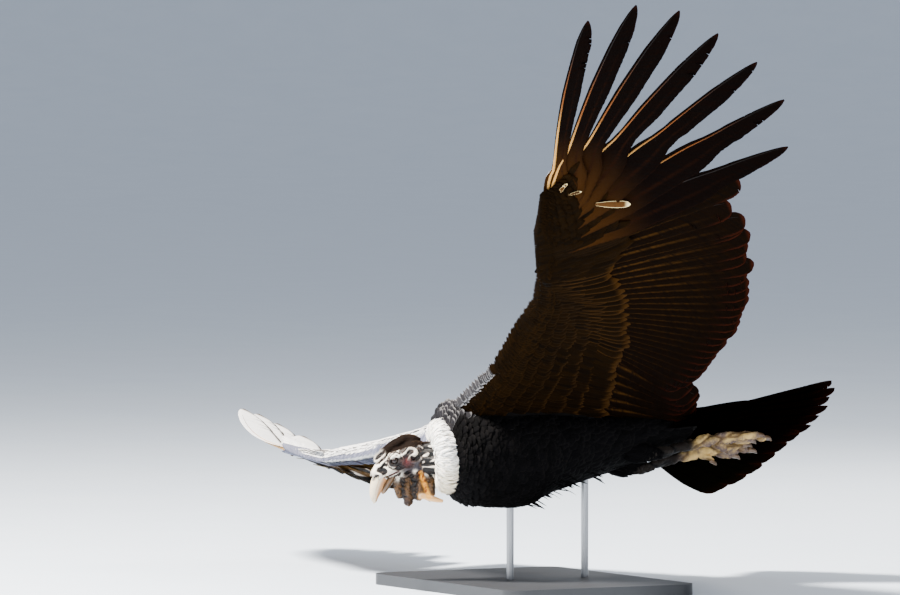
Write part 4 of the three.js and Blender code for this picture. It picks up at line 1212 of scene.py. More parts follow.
def belly_tufts(finish):
    """Loose barbs that hang from the breast and belly."""
    draws = np.random.default_rng(SEEDS["tufts"])
    count = 46
    y = np.concatenate([draws.uniform(-0.13, -0.03, 26), draws.uniform(0.0, 0.2, 20)])
    angle = np.radians(draws.uniform(-118, -62, count))
    root = trunk_point(y, angle, -0.006)
    down = np.array([0.0, 0.0, -1.0])
    direction = unit(np.array([0.0, 1.0, 0.0]) + down * draws.uniform(0.15, 0.7, count)[:, None])
    side = unit(np.cross(direction, down) + draws.normal(0, 0.3, (count, 3)))
    normal = unit(np.cross(side, direction))
    batch = Batch()
    corners = draws.uniform(0.05, 0.9, (count, 2))
    tufts(batch, (root, direction, normal, np.cross(direction, normal)),
          draws.uniform(0.022, 0.042, count), draws.uniform(0.003, 0.007, count), LOCK_OUTLINE,
          (6, 2),
          corners.T, tilt=0.0, rise=0.15, camber=0.1, thick=0.0007, tone=draws.random(count),
          low=np.zeros(count))
    batch.build("belly_tufts", finish)


# Tail

TAIL_PLACE = (
    Matrix.Translation((0, TAIL["root"], TAIL["height"]))
    @ Matrix.Rotation(math.radians(TAIL["twist"]), 4, "Y")
    @ Matrix.Rotation(math.radians(-TAIL["lift"]), 4, "X")
    @ Matrix.Rotation(math.radians(TAIL["turn"]), 4, "Z")
)


def tail_places(share, height):
    angle = np.radians(share * TAIL["fan"])
    direction = np.stack([np.sin(angle), np.cos(angle), 0 * angle], -1)
    side = np.where(share < 0, -1.0, 1.0)[:, None]
    lead = np.stack([direction[:, 1], -direction[:, 0], 0 * angle], -1) * side
    root = np.stack([share * TAIL["spacing"], 0 * share, height - np.abs(share) * 0.009], -1)
    turn = np.array(TAIL_PLACE)[:3, :3].T
    normal = np.broadcast_to([0.0, 0.0, 1.0], direction.shape)
    return moved(TAIL_PLACE, root), direction @ turn, normal @ turn, lead @ turn


def tail(finish, coat_look, quill_look):
    draws = np.random.default_rng(SEEDS["tail"])
    batch, shafts = Batch(), Batch()
    share = np.linspace(-1, 1, TAIL["feathers"])
    right_end = 0.034 * smooth(-0.3, -1.0, share)
    length = (TAIL["length"] - TAIL["shorter"] * share**2 + right_end) * draws.uniform(0.985, 1.015,
            len(share))
    tone = np.linspace(1, 0, len(share))
    feathers(batch, shafts, tail_places(share, 0.004), length, np.full(len(share), 0.068),
             RECTRIX_OUTLINE, 80, 8, atlas(0, len(share), len(share)), radius=0.0016,
             shaft_tone=np.full(len(share), 9.0), tone=tone,
             wear=worn(draws, length, 80, 3.5, 0.74, 0.9), thick=0.0014, tilt=-5.0, rise=0.05,
             sweep=0.06, share=0.34, quill=0.36)
    made = batch.build("tail_feathers", finish)
    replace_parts(made, "tail")
    shafts.build("tail_quills", quill_look, "horn")
    cover = Batch()
    for face in (1, -1):
        for line, (start, size, count) in enumerate(((0.02, 0.165, 15), (-0.03, 0.13, 16),
                                                     (-0.075, 0.09, 17))):
            share = np.linspace(-0.88, 0.88, count) + draws.uniform(-0.03, 0.03, count)
            height = 0.018 + line * 0.006 if face > 0 else -0.010 - line * 0.006
            root, direction, normal, lead = tail_places(share, height)
            root = root + direction * start
            direction = unit(direction - normal * face * (0.05 + 0.04 * line))
            at = 0.05 + 0.85 * (share + 1) / 2, 0.2 + 0.1 * line + 0.3 * (face > 0)
            tufts(cover, (root, direction, normal, lead), size * draws.uniform(0.85, 1.15, count),
                  np.full(count, 0.036), COVERT_OUTLINE, (9, 4), at, tilt=-5.0, rise=-0.04 * face,
                  camber=0.1 * face, thick=0.0009, tone=draws.random(count),
                  wear=worn(draws, np.full(count, size), 9, 1.0, 0.4, 0.35),
                  low=draws.random(count) * 0.5, face=face)
    cover.build("tail_coverts", coat_look)


# Skin, head and ruff

def section_rings(table, steps, sides, power=1.0, grow=0.0):
    """Rings of head sections in the head's own frame, its front towards -Y."""
    rows = refine(table, steps)
    angle = circle(sides)
    rings = []
    for forward, above, lean, half, up, down in rows:
        tilt = math.radians(lean)
        top = np.array([0.0, math.sin(tilt), math.cos(tilt)])
        across = np.sign(np.cos(angle)) * np.abs(np.cos(angle)) ** power
        height = np.where(np.sin(angle) >= 0, up + grow, down + grow)
        rings.append(np.array([0.0, -forward, above]) + np.outer(across * (half + grow), (1, 0, 0))
                     + np.outer(np.sin(angle) * height, top))
    return np.array(rings)


def neck_path():
    base = moved(HEAD, np.array([0.0, 0.070, -0.052]))
    end = moved(HEAD, np.array([0.0, 0.046, -0.030]))
    return np.array([NECK_START, lerp(NECK_START, base, 0.45), lerp(NECK_START, base, 0.75), base,
                     end])


def tube_rings(points, radii, steps, sides, waves=0, depth=0.0):
    path = refine(points, steps)
    radius = refine(radii, steps)
    run = unit(np.gradient(path, axis=0))
    side = unit(np.cross((0.0, 0.0, 1.0), run))
    top = np.cross(run, side)
    angle = circle(sides)
    size = radius[:, None] - depth * (0.5 - 0.5 * np.cos(waves * angle))[None]
    return (path[:, None] + side[:, None] * (np.cos(angle) * size)[..., None]
            + top[:, None] * (np.sin(angle) * size)[..., None])


def ball_rings(centre, radius, count=12, sides=20, stretch=(1, 1, 1)):
    polar = np.linspace(0.12, math.pi - 0.12, count)
    angle = circle(sides)
    ring = np.sin(polar)[:, None]
    shape = packed(np.cos(polar)[:, None], ring * np.cos(angle), ring * np.sin(angle))
    return np.asarray(centre) + shape * radius * np.asarray(stretch)


def ring_rings(centre, ring, tube, stretch):
    """A closed hoop round the X axis, as rings whose ends meet."""
    angle = np.linspace(0, 2 * math.pi, 33)
    around = circle(10)
    rim = np.stack([0 * angle, np.cos(angle) * stretch, np.sin(angle)], -1)
    out = rim[:, None] * (ring + tube * np.cos(around))[None, :, None]
    return np.asarray(centre) + out + np.array([1.0, 0, 0]) * (tube * np.sin(around))[None, :, None]


NECK_FOLDS = 14
# Forward and above, under the ruff
LOW_FOLD = ((0.007, -0.094), (-0.006, -0.113), (-0.020, -0.132))
LEVEL = Matrix.Rotation(-HEAD_DOWN, 4, "X")


def head_shapes():
    """Closed shapes that make up the bare head and neck, in the head's frame."""
    angle = circle(28)
    folds = []
    for behind, top, bottom, half in refine(WATTLE, 4):
        reach = (top - bottom) / 2
        folds.append(np.stack([np.cos(angle) * half, 0 * angle + behind,
                               (top + bottom) / 2 + np.sin(angle) * reach], -1))
    bulb = ball_rings((0, WATTLE_BULB["behind"], WATTLE_BULB["above"]), WATTLE_BULB["radius"])
    neck = moved(HEAD.inverted(), tube_rings(neck_path(), NECK_RADII, 8, 98, waves=NECK_FOLDS,
                                             depth=0.005))
    low_path = np.array([(0.0, -forward, above) for forward, above in LOW_FOLD])
    low = tube_rings(low_path, np.array([0.0045, 0.0050, 0.0030]), 6, 16)
    shapes = [
        section_rings(SKULL, 6, 40), section_rings(COMB, 5, 32), section_rings(CERE, 5, 36),
        moved(LEVEL, np.array(folds)), moved(LEVEL, bulb), neck, low,
    ]
    for side in (-1, 1):
        lid_at = (side * (EYE["side"] + LID["out"]), -EYE["forward"], EYE["above"])
        shapes.append(ring_rings(lid_at, LID["ring"], LID["tube"], LID["stretch"]))
        shapes.append(ring_rings((side * EAR["side"], -EAR["forward"], EAR["above"]), EAR["radius"],
                                 EAR["rim"], EAR["narrow"]))
    return [rings_mesh(shape) for shape in shapes]


def spot(points, centre, size):
    """Weight of points near a centre in the side view, given as forward, above and a size."""
    away = np.hypot(-points[:, 1] - centre[0], points[:, 2] - centre[1])
    return bell(away / size)


def stripe(points, start, end, size):
    """Weight of points near a line in the side view."""
    place = np.stack([-points[:, 1], points[:, 2]], -1)
    start, end = np.array(start), np.array(end)
    t = np.clip((place - start) @ (end - start) / np.dot(end - start, end - start), 0, 1)
    away = np.linalg.norm(place - start - t[:, None] * (end - start), axis=1)
    return np.exp(-((away / size) ** 3))


def signed_noise(points, size, stretch=(1, 1, 1), offset=0.0):
    places = points * np.asarray(stretch) / size + offset
    return np.array([noise.noise(Vector(p)) for p in places])


def lumps(points, size, crease, stretch=(1, 1, 1), offset=0.0):
    """Smooth lumps parted by creases, from 0 in a crease to 1 on a lump."""
    return smooth(0.0, crease, np.abs(signed_noise(points, size, stretch, offset)))


def strands(points, size, stretch=(1, 1, 1), offset=0.0):
    """A net of rounded folds round open hollows, from 0 in a hollow to 1 on a fold."""
    return smooth(0.30, 0.05, np.abs(signed_noise(points, size, stretch, offset)))


def neck_pleats(points):
    """Crests of the folds that run along the neck, from 0 to 1, and how far along the neck a point
    is."""
    path = moved(HEAD.inverted(), neck_path())
    run = unit(path[3] - path[0])
    side = unit(np.cross(np.array(HEAD.inverted())[:3, :3] @ (0.0, 0.0, 1.0), run))
    top = np.cross(run, side)
    away = points - path[0]
    angle = np.arctan2(away @ top, away @ side)
    return 0.5 + 0.5 * np.cos(NECK_FOLDS * angle), away @ run / np.linalg.norm(path[3] - path[0])


# Depths cut into the bare head, and the height of the rim round the nostril.
HEAD_DEPTH = {"mouth": 0.0028, "nostril": 0.0050, "rim": 0.0012, "ear": 0.0070, "hollow": 0.0040}


def wrinkled_head():
    """Points, faces and colour weights of the bare head and neck, with folds, lids, ears and
    mouth."""
    points, normals, faces = merged(head_shapes(), 0.0013, 3)
    forward, above, aside = -points[:, 1], points[:, 2], np.abs(points[:, 0])
    level = moved(LEVEL.inverted(), points)
    crown = np.interp(forward, (-0.080, -0.063, -0.031, 0.0, 0.012, 0.040),
                      (-0.016, -0.009, 0.010, 0.021, 0.026, 0.034))
    comb = smooth(-0.002, 0.002, above - crown) * smooth(0.014, 0.002, forward)
    throat = (smooth(-0.028, -0.042, level[:, 2]) * smooth(0.098, 0.084, level[:, 1])
              * smooth(-0.022, -0.008, level[:, 1]))
    eye = np.hypot(forward - EYE["forward"], (above - EYE["above"]) * 1.1)
    beside = smooth(0.010, 0.016, aside)
    wander = signed_noise(points, 0.020, offset=7.0)
    coarse = strands(points, 0.018, (1, 0.75, 1.2))
    middle = strands(points, 0.0100, (1, 1, 1), offset=3.0)
    fine = lumps(points, 0.0036, 0.45, offset=5.0)
    ridge = np.maximum(0.78 * coarse, 0.62 * middle * (0.35 + 0.65 * coarse)) + 0.20 * fine
    lid_rings = 0.5 + 0.5 * np.cos((eye - 0.0150 + 0.004 * wander) * 2 * math.pi / 0.0058)
    around_eye = bell((eye - 0.0185) / 0.0050) * beside
    ridge = lerp(ridge, 0.6 * lid_rings + 0.4 * middle, 0.65 * around_eye)
    width = np.interp(level[:, 1] + 0.006 * wander, WATTLE[:, 0],
                      (0.3, 1, 0.1, 1, 0.1, 1, 0.3, 1, 0.3))
    hanging = 0.55 * width + 0.25 * lumps(points, 0.006, 0.3, (1, 1, 0.35)) + 0.20 * fine
    ridge = lerp(ridge, hanging, throat)
    pleat, along_neck = neck_pleats(points)
    behind_face = -0.80 * (forward + 0.0395) - 0.60 * (above + 0.0355)
    neck = np.maximum(smooth(0.86, 0.74, along_neck),
                      smooth(0.0, 0.006, behind_face)) * (1 - throat)
    crossing = smooth(-0.25, 0.05, signed_noise(points, 0.016, offset=11.0))
    ridge = lerp(ridge, pleat**1.6 * crossing * 0.9 + 0.1 * fine, neck)
    low_fold = stripe(points, LOW_FOLD[0], LOW_FOLD[2], 0.007)
    ridge = lerp(ridge, 0.9, np.clip(low_fold, 0, 1))
    ridge = lerp(ridge, 0.45 + 0.10 * fine, np.clip(comb, 0, 1))
    lid = smooth(0.0150, 0.0125, eye) * beside
    height = lerp(0.0062, 0.0018, np.maximum(lid, 0.8 * neck)) * (ridge - 0.55)
    mouth_line = above - MOUTH["above"] - 0.25 * (forward - 0.036) + 0.001 * wander
    mouth = bell(mouth_line / 0.0017) * smooth(MOUTH["corner"] - 0.004, MOUTH["corner"] + 0.004,
                                               forward)
    slot = np.hypot((forward - NOSTRIL["forward"]) / NOSTRIL["length"],
                    (above - NOSTRIL["above"]) / NOSTRIL["height"])
    nostril = smooth(0.62, 0.40, slot)
    rim = bell((slot - 0.78) / 0.16)
    ear = np.hypot((forward - EAR["forward"]) / EAR["narrow"], above - EAR["above"])
    cup = smooth(0.0066, 0.0040, ear) * (aside > 0.02)
    hollow = bell((forward + 0.030) / 0.022) * bell((above - 0.017) / 0.0075) * comb
    open_skin = (1 - mouth) * (1 - nostril) * (1 - cup)
    height = height * open_skin - HEAD_DEPTH["mouth"] * mouth - HEAD_DEPTH["nostril"] * nostril
    height = height + HEAD_DEPTH["rim"] * rim - HEAD_DEPTH["ear"] * cup
    height = height - HEAD_DEPTH["hollow"] * hollow
    points = points + normals * height[:, None]
    # Spots where the fold crests take near white painted sunlit highlights.
    pale = (1.3 * spot(points, (0.034, 0.008), 0.026) + 0.9 * spot(points, (0.004, 0.010), 0.017)
            + 1.2 * spot(points, (0.020, -0.031), 0.010)
            + 0.9 * spot(points, (-0.024, 0.004), 0.014)
            + 0.8 * spot(points, (-0.044, -0.012), 0.012) + 0.9 * neck
            + 1.2 * spot(points, (-0.016, -0.045), 0.0045) + 1.3 * low_fold)
    red = (spot(points, (-0.017, -0.018), 0.010) + spot(points, (0.040, -0.083), 0.011)
           + 0.7 * mouth)
    orange = stripe(points, (-0.023, -0.055), (-0.004, -0.104), 0.0048) + 0.8 * low_fold
    dark = 1 - 0.7 * spot(points, (0.0, -0.014), 0.008)
    fold = np.stack([ridge * open_skin * dark, comb, throat], -1)
    patch = np.clip(np.stack([pale, red, orange], -1), 0, 1)
    return points, faces, fold, patch


# Marks of the plain skin beneath the plumage, in the comb's value, and where its silvery side
# starts. The silver under the far wing is painted sun glare, like that wing's coverts.
UNDER_BLACK, UNDER_SILVER, SILVER_SIDE = 2.0, 3.0, -0.13


def skin(finish):
    """One skin for head, neck, trunk, arms and the base of the tail."""
    head, head_faces, fold, patch = wrinkled_head()
    head = moved(HEAD, head)
    rows = TRUNK_FINE[::3]
    angle = circle(48)
    trunk = np.array([trunk_point(np.full(48, y), angle, -COAT) for y in rows[:, 0]])
    end = TRUNK[-1]
    stump = []
    for along, half, up, down in ((0.0, 1.0, 1.0, 1.0), (0.045, 1.05, 0.66, 0.5),
                                  (0.09, 1.1, 0.24, 0.08)):
        height = np.where(np.sin(angle) >= 0, end[3] * up, end[4] * down) - 0.003
        stump.append(np.stack([np.cos(angle) * end[2] * half, 0 * angle + end[0] + along - 0.012,
                               end[1] + np.sin(angle) * height], -1))
    shapes = [rings_mesh(trunk), rings_mesh(refine(np.array(stump), 4))]
    for wing in (LEFT, RIGHT):
        shapes.append(rings_mesh(wing.rings(0.003)))
    body, _, body_faces = merged(shapes, 0.006, 4)
    points = moved(BIRD, np.concatenate([head, body]))
    faces = head_faces + [[corner + len(head) for corner in face] for face in body_faces]
    under = np.tile((0.0, UNDER_BLACK, 0.0), (len(body), 1))
    # Silver on the far side: painted sun glare.
    under[body[:, 0] < SILVER_SIDE, 1] = UNDER_SILVER
    made = piece("skin", points, faces, finish, "bare_skin", fold=np.concatenate([fold, under]),
                 patch=np.concatenate([patch, np.zeros((len(body), 3))]))
    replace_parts(made, "torso", "neck", "head", "comb", "wattle")


def horn_piece(name, rings, finish, place=BIRD):
    points, faces = rings_mesh(rings)
    count, sides = rings.shape[:2]
    vane = packed(np.linspace(0, 1, count)[:, None], np.arange(sides) / sides, 0.0).reshape(-1, 3)
    vane = np.concatenate([vane, [(0, 0, 0), (1, 0, 0)]])
    return piece(name, moved(place, points), faces, finish, "horn", vane=vane)


def bill(finish, lower_finish):
    """Hooked upper bill with a sharp culmen, and the lower bill that it overhangs."""
    for name, node, table, sides, power, look in (
        ("bill_upper", "beak_upper", BILL_UPPER, 40, 1.25, finish),
        ("bill_lower", "beak_lower", BILL_LOWER, 32, 1.1, lower_finish),
    ):
        made = horn_piece(name, section_rings(table, 10, sides, power=power), look, BIRD @ HEAD)
        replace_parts(made, node)


def eyes(finish):
    for side, name in ((1, "eye_left"), (-1, "eye_right")):
        polar = np.linspace(0.02, math.pi - 0.05, 28)
        angle = circle(36)
        ring = np.sin(polar)[:, None]
        shape = packed(np.cos(polar)[:, None] * side, ring * np.cos(angle), ring * np.sin(angle))
        centre = np.array([side * EYE["side"], -EYE["forward"], EYE["above"]])
        bulge = 1 + 0.05 * smooth(0.75, 0.1, polar)[:, None, None]
        rings = centre + shape * EYE["radius"] * bulge
        if side < 0:
            rings = rings[:, ::-1]
        points, faces = rings_mesh(rings)
        vane = packed(polar[:, None], angle, 0.0).reshape(-1, 3)
        vane = np.concatenate([vane, [(0, 0, 0), (math.pi, 0, 0)]])
        made = piece(f"{name}_ball", moved(BIRD @ HEAD, points), faces, finish, "eye", vane=vane)
        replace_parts(made, name)


def ruff(finish):
    """Dense soft locks that bend over a ring round the neck, from its front to the rear."""
    draws = np.random.default_rng(SEEDS["ruff"])
    start, following = neck_path()[:2]
    axis = unit(following - start)
    side = unit(np.cross((0.0, 0.0, 1.0), axis))
    top = np.cross(axis, side)
    centre = following + axis * RUFF["forward"]
    count = RUFF["locks"]
    turn = draws.uniform(0, 2 * math.pi, count)
    bend = np.radians(draws.uniform(-112, 78, count))
    out = side * np.cos(turn)[:, None] + top * np.sin(turn)[:, None]
    round_ring = np.cross(axis, out)
    normal = out * np.cos(bend)[:, None] - axis * np.sin(bend)[:, None]
    direction = -out * np.sin(bend)[:, None] - axis * np.cos(bend)[:, None]
    depth = RUFF["tube"] + draws.uniform(0.0, 0.009, count)
    root = centre + out * RUFF["ring"] + normal * depth[:, None]
    world_up = np.array(BIRD_TURN)[:3, :3].T @ np.array([0.0, 0.0, 1.0])
    low = smooth(0.01, -0.07, (root - centre) @ world_up)
    ahead = (root - centre) @ axis
    root = root - np.outer(np.where(ahead > 0, RUFF["flat"] * (1 - low), -RUFF["full"]) * ahead,
                           axis)
    sway = draws.normal(0, 0.09, count)[:, None]
    direction = unit(direction + normal * draws.uniform(0.06, 0.20, count)[:, None]
                     + round_ring * sway)
    normal = squared(normal, direction)
    lead = np.cross(direction, normal)
    batch = Batch()
    at = 0.03 + 0.9 * turn / (2 * math.pi), 0.03 + 0.9 * (bend + 2) / 3.6
    tufts(batch, (root, direction, normal, lead), draws.uniform(0.020, 0.029, count),
          draws.uniform(0.0042, 0.0076, count), LOCK_OUTLINE, (6, 2), at, tilt=0.0, rise=-0.25,
          camber=0.15, thick=0.0008, tone=draws.random(count), curl=0.30, low=low)
    made = batch.build("ruff_locks", finish, "plumage_white")
    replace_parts(made, "ruff")
    angle = np.linspace(0, 2 * math.pi, 65)
    section = circle(20)
    rim = side * np.cos(angle)[:, None] + top * np.sin(angle)[:, None]
    size = RUFF["tube"] + 0.001
    core = centre + rim[:, None] * (RUFF["ring"] + size * np.cos(section))[None, :, None]
    rise = np.sin(section)
    core = core + axis * (size * np.where(rise > 0, rise * (1 - RUFF["flat"]), rise))[None, :, None]
    points, faces = rings_mesh(core)
    vane = np.tile((0.6, 0.0, 0.5), (len(points), 1))
    metric = np.zeros((len(points), 3))
    metric[:, 2] = smooth(0.01, -0.07, (points - centre) @ world_up)
    piece("ruff_core", moved(BIRD, points), faces, finish, "plumage_white", vane=vane,
          metric=metric)


# Legs

def toe_lines(side):
    """Centre lines and radii of the shank and toes of one foot, and of its claws."""
    def at(x, y, z):
        return np.array([side * x, y, z])

    hip, heel, ball = at(*LEG["hip"]), at(*LEG["heel"]), at(*LEG["ball"])
    lines = [(np.array([hip, heel, lerp(heel, ball, 0.5), ball]), np.array(LEG["shank"]))]
    claws = []
    for x, y, z, thick in LEG["toes"]:
        tip = at(x, y, z)
        forward = unit(tip - ball)
        middle = lerp(ball, tip, 0.5) + (0, 0, 0.004)
        lines.append((np.array([ball - forward * 0.008, middle, tip]),
                      np.array([thick, thick * 0.9, thick * 0.62])))
        reach = LEG["claw"] if z > LEG["tucked"] else LEG["claw"] * 0.5
        curve = [tip - forward * 0.006, tip + forward * reach * 0.63, tip + forward * reach]
        curve[1][2] -= reach * 0.16
        curve[2][2] -= reach * 0.63
        claws.append((np.array(curve), np.array([thick * 0.5, thick * 0.40, 0.0007])))
    return lines, claws


def feet(finish, claw_look):
    for side, name in ((1, "leg_left"), (-1, "leg_right")):
        lines, claws = toe_lines(side)
        shapes = [rings_mesh(tube_rings(path, radii, 12, 20)) for path, radii in lines]
        points, normals, faces = merged(shapes, 0.0016, 4)
        paths = [refine(path, 24) for path, _ in lines]
        run = np.concatenate([walked(path) for path in paths])
        centres = np.concatenate(paths)
        nearest = np.concatenate([
            np.argmin(((block[:, None] - centres[None]) ** 2).sum(-1), 1)
            for block in np.array_split(points, 12)
        ])
        along = run[nearest]
        upward = normals[:, 2]
        scutes = np.abs(np.sin(along * math.pi / 0.0056)) ** 0.6
        pads = np.abs(np.sin(along * math.pi / 0.024)) ** 0.7
        cells = lumps(points, 0.0042, 0.35)
        plate = lerp(0.45 * cells + 0.55 * pads, scutes, smooth(-0.1, 0.35, upward))
        points = points + normals * (0.0009 * (plate - 0.6))[:, None]
        crumple = lumps(points, 0.030, 0.3, (1, 0.7, 1))
        crumple = crumple * (0.6 + 0.4 * lumps(points, 0.013, 0.35, offset=4.0))
        points = points + normals * (0.0052 * (crumple - 0.55))[:, None]
        plate = (0.75 + 0.25 * plate) * (0.25 + 0.75 * crumple)
        high = smooth(0.315, 0.275, points[:, 1])
        fold = np.stack([plate, high, 0 * plate], -1)
        made = piece(f"{name}_foot", moved(BIRD, points), faces, finish, "leg_skin", fold=fold)
        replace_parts(made, name)
        for k, (path, radii) in enumerate(claws):
            horn_piece(f"{name}_claw_{k}", tube_rings(path, radii, 8, 14), claw_look)


def trousers(finish):
    """Feathers of the thighs, down to the feathered top of the shank."""
    draws = np.random.default_rng(SEEDS["trousers"])
    batch = Batch()
    for side in (1, -1):
        lines, _ = toe_lines(side)
        hip, heel = lines[0][0][:2]
        run = unit(heel - hip)
        count = 240
        step = np.sort(draws.random(count))
        first = unit(np.cross((0.0, 0.0, 1.0), run))
        second = np.cross(run, first)
        angle = draws.uniform(0, 2 * math.pi, count)
        out = first * np.cos(angle)[:, None] + second * np.sin(angle)[:, None]
        root = lerp(hip - run * 0.02, heel - run * 0.012, step[:, None]) + out * lerp(0.019, 0.009,
                step)[:, None]
        direction = unit(run + out * lerp(0.16, 0.04, step)[:, None])
        normal = squared(out, direction)
        at = 0.05 + 0.85 * angle / (2 * math.pi), 0.1 + 0.3 * step + 0.4 * (side > 0)
        size = lerp(0.044, 0.024, step) * draws.uniform(0.85, 1.15, count)
        tufts(batch, (root, direction, normal, np.cross(direction, normal)), size,
              lerp(0.020, 0.010, step) * draws.uniform(0.85, 1.15, count), COVERT_OUTLINE, (5, 4),
              at,
              tilt=4.0, rise=-0.1, camber=0.15, thick=0.0008, tone=draws.random(count),
              wear=worn(draws, size, 5, 0.4, 0.4, 0.3), low=draws.random(count) * 0.3)
    batch.build("trousers", finish)


# Stage

# Floor, level round the model and rising to a rim far away: radius and height.
FLOOR_PROFILE = ((4.0, 0.0), (20.0, 0.0), (40.0, 0.0), (46.0, 0.3), (51.0, 1.1), (55.0, 2.6),
                 (58.0, 5.0), (60.0, 9.0))
CAMERA_AZIMUTH = math.radians(60.78)
CAMERA_ELEVATION = math.radians(3.0)
CAMERA_DISTANCE = 16.0
FRAME_WIDTH = 1.944  # breadth that the picture takes in at the bird's own distance
CAMERA_SHIFT = (-0.2529, 0.329)  # of the view's centre from the bird's origin, to the right and up


def view_axes():
    """Right, up and backward directions of the camera."""
    back = Vector((
        math.sin(CAMERA_AZIMUTH) * math.cos(CAMERA_ELEVATION),
        -math.cos(CAMERA_AZIMUTH) * math.cos(CAMERA_ELEVATION), math.sin(CAMERA_ELEVATION),
    ))
    right = Vector((0, 0, 1)).cross(back).normalized()
    return right, back.cross(right), back


def camera():
    right, up, back = view_axes()
    data = bpy.data.cameras.new("camera")
    data.sensor_width = 36.0
    data.lens = data.sensor_width * CAMERA_DISTANCE / FRAME_WIDTH
    data.clip_end = 1000.0
    made = placed("camera", data)
    made.location = BIRD_AT + back * CAMERA_DISTANCE
    target = BIRD_AT + right * CAMERA_SHIFT[0] + up * CAMERA_SHIFT[1]
    made.rotation_euler = (target - made.location).to_track_quat("-Z", "Y").to_euler()
    bpy.context.scene.camera = made


def softbox(name, sideways, upward, backward, size, power, colour):
    """An area light placed by the camera's directions round the bird, aimed at it."""
    right, _, back = view_axes()
    data = bpy.data.lights.new(name, "AREA")
    data.shape = "DISK"
    data.size = size
    data.energy = power
    data.color = colour
    made = placed(name, data)
    made.location = BIRD_AT + right * sideways + Vector((0, 0, upward)) + back * backward
    aim = (BIRD_AT - made.location).normalized()
    made.rotation_mode = "QUATERNION"
    made.rotation_quaternion = aim.to_track_quat("-Z", "Y")


def stage():
    world = bpy.data.worlds.new("studio")
    world.use_nodes = True
    background = world.node_tree.nodes["Background"]
    background.inputs[0].default_value = (0.84, 0.89, 0.97, 1.0)
    background.inputs[1].default_value = 0.78
    bpy.context.scene.world = world
    sides = 96
    turn = circle(sides)
    rings = np.array([np.stack([np.cos(turn) * r, np.sin(turn) * r, 0 * turn + z], -1) for r,
                      z in FLOOR_PROFILE])
    faces = tube_faces(len(FLOOR_PROFILE), sides)[:, (0, 3, 2, 1)].tolist()
    mesh = bpy.data.meshes.new("floor")
    mesh.from_pydata(rings.reshape(-1, 3), [], [list(range(sides))] + faces)
    mesh.polygons.foreach_set("use_smooth", np.ones(len(mesh.polygons), bool))
    floor = placed("floor", mesh)
    finish = Finish("floor", Specular_IOR_Level=0.2)
    grain = finish.noise(3.0, 4.0)
    colour = grain.mix(rgb(190, 200, 214), rgb(198, 208, 220))
    mesh.materials.append(finish.done(colour, grain.line(0.1, 0.8)))
    softbox("key", -3.0, 5.0, 1.5, 1.4, 2900.0, (1.0, 0.95, 0.87))
    softbox("fill", 1.5, 1.6, 5.0, 4.0, 60.0, (0.95, 0.96, 1.0))
    softbox("rim", 2.5, 3.0, -4.0, 2.0, 260.0, (1.0, 0.93, 0.84))


# The bird on its stand

LEFT = Wing(LEFT_WING, False)
RIGHT = Wing(RIGHT_WING, True)

camera()
stage()

NEAR_FLIGHT = rgb(7, 4, 1), rgb(24, 15, 5), rgb(60, 40, 18), rgb(56, 24, 14), 0.7
# The far wing's undersides take lighter copies of the near wing's colours: painted light.
FAR_FLIGHT_LIT = rgb(24, 16, 5), rgb(62, 44, 16), rgb(120, 86, 38), rgb(96, 62, 26), 0.7
BAND = {"tip": rgb(30, 24, 20), "tip_from": 0.62}  # dark trailing band above

inner_look = flight_finish("inner_flight", *NEAR_FLIGHT, **BAND)
finger_look = flight_finish(
    "fingers", rgb(3, 2, 1), rgb(19, 10, 5), rgb(30, 16, 8), rgb(44, 20, 13), 0.4,
    tip=rgb(20, 16, 14), tip_from=0.20, base=rgb(52, 32, 12),
)
far_look = flight_finish("far_flight", *FAR_FLIGHT_LIT, **BAND)
far_hand_look = flight_finish("far_hand", *FAR_FLIGHT_LIT, tip=rgb(42, 31, 16), tip_from=0.40)
# Far fingers: silver above to the tip, a painted sun glare on black feathers.
far_finger_look = flight_finish("far_fingers", rgb(5, 3, 2), rgb(23, 13, 7), rgb(32, 18, 9),
                                rgb(44, 20, 13), 0.4)
quill_look = quill_finish()
tail_coat = coat_finish("tail_coat", rgb(3, 2, 2), rgb(11, 8, 6), rgb(18, 14, 12), 0.0, 0.7)
black_coat = coat_finish("body_coat", rgb(5, 5, 5), rgb(16, 15, 16), rgb(26, 24, 23), 0.03, 0.65)
# Black like the body, with lighter grey rims: a painted sheen of light on the back.
mantle_sheen_coat = coat_finish("mantle_sheen_coat", rgb(8, 8, 9), rgb(36, 35, 38), rgb(112, 110, 110), 0.06,
                          0.55)
under_coat = coat_finish("under_coverts", rgb(8, 6, 1), rgb(27, 18, 5), rgb(74, 49, 22), 0.02, 0.7)
upper_coat = coat_finish(
    "upper_coverts", rgb(168, 168, 172), rgb(240, 238, 235), rgb(196, 192, 186),
    back=rgb(46, 30, 14),
)
# Dark with broad light rims: painted silver highlights along the near shoulder's front edge.
shoulder_highlight_coat = coat_finish("shoulder_highlight_coat", rgb(14, 14, 15), rgb(62, 60, 62), rgb(150, 147, 146))
# Under coverts of the far wing: a lighter copy of the near wing's brown, painted light.
far_under_lit_coat = coat_finish("far_under_coverts_lit", rgb(40, 27, 9), rgb(86, 61, 25),
                             rgb(140, 102, 50))
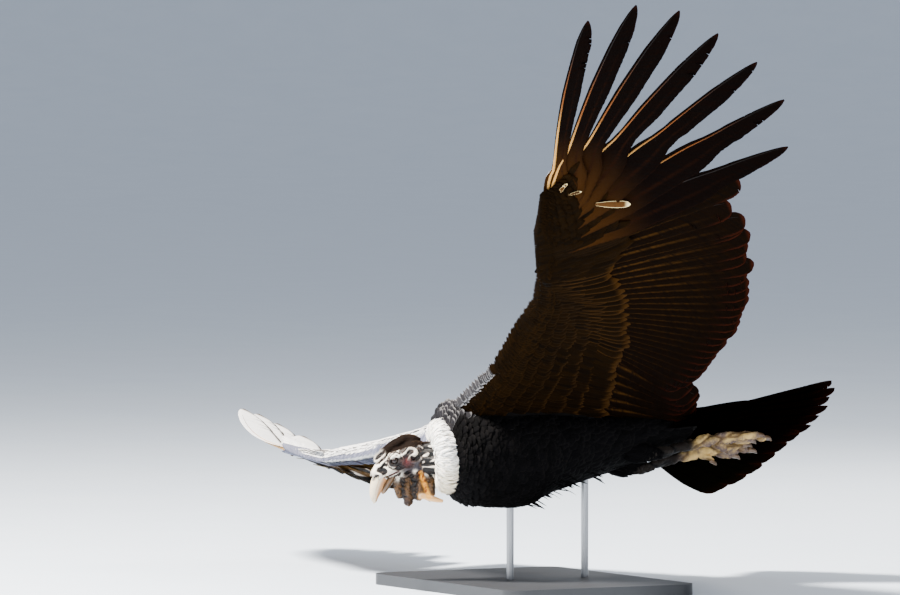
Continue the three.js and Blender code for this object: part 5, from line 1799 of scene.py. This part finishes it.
# Grey-blue painted shade for the far wing's front edge, above and below.
edge_shade_coat = coat_finish("edge_shade_coat", rgb(60, 62, 76), rgb(112, 114, 130), rgb(156, 156, 166))
# Silver on the far wing's alula, whose feathers are black: painted sun glare.
alula_glare_coat = coat_finish("alula_glare_coat", rgb(178, 178, 182), rgb(240, 238, 236), rgb(200, 198, 196))
pale_coat = coat_finish("pale_bases", rgb(30, 18, 8), rgb(84, 54, 24), rgb(252, 226, 164))
tail_look = tail_finish()
# The upper bill's warm underside colour is painted shade.
bone_look = horn_finish("bill_horn", rgb(232, 216, 186), rgb(110, 92, 78), -0.1, 0.22,
                        rgb(176, 112, 54))
# The lower bill's dark base is its own colour; its tip is kept brown where it is ivory: painted
# shade.
low_bone_look = horn_finish("bill_lower_horn", rgb(110, 84, 56), rgb(24, 18, 14), 0.55, 0.95)
claw_look = horn_finish("claw_horn", rgb(44, 36, 32), rgb(96, 80, 66), 0.1, 0.6)

for wing, name in ((LEFT, "wing_left"), (RIGHT, "wing_right")):
    near = wing is LEFT
    looks = (inner_look, inner_look, finger_look) if near else (far_look, far_hand_look,
            far_finger_look)
    flight_feathers(wing, name, *looks, quill_look)
    # With no dark lesser finish, the far wing's upper coverts are all silver: real white on the
    # greater coverts, painted sun glare on the black lesser and hand coverts.
    coverts(wing, name, 1, upper_coat, edge_shade_coat, black_coat if near else None)
    coverts(wing, name, -1, under_coat if near else far_under_lit_coat,
            shoulder_highlight_coat if near else edge_shade_coat)
    pale_bases(wing, name, pale_coat)
    alula(wing, name, black_coat if near else alula_glare_coat)
trunk_coat(black_coat, mantle_sheen_coat)
belly_tufts(black_coat)
tail(tail_look, tail_coat, tail_coat)
skin(skin_finish())
bill(bone_look, low_bone_look)
eyes(eye_finish())
ruff(ruff_finish())
feet(foot_finish(), claw_look)
trousers(black_coat)

stand_paint, stand_steel = stand_finishes()
for node_name, look in (
    ("stand_base", stand_paint), ("stand_rod_front", stand_steel), ("stand_rod_rear", stand_steel),
):
    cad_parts[node_name].data.materials.clear()
    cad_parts[node_name].data.materials.append(look)
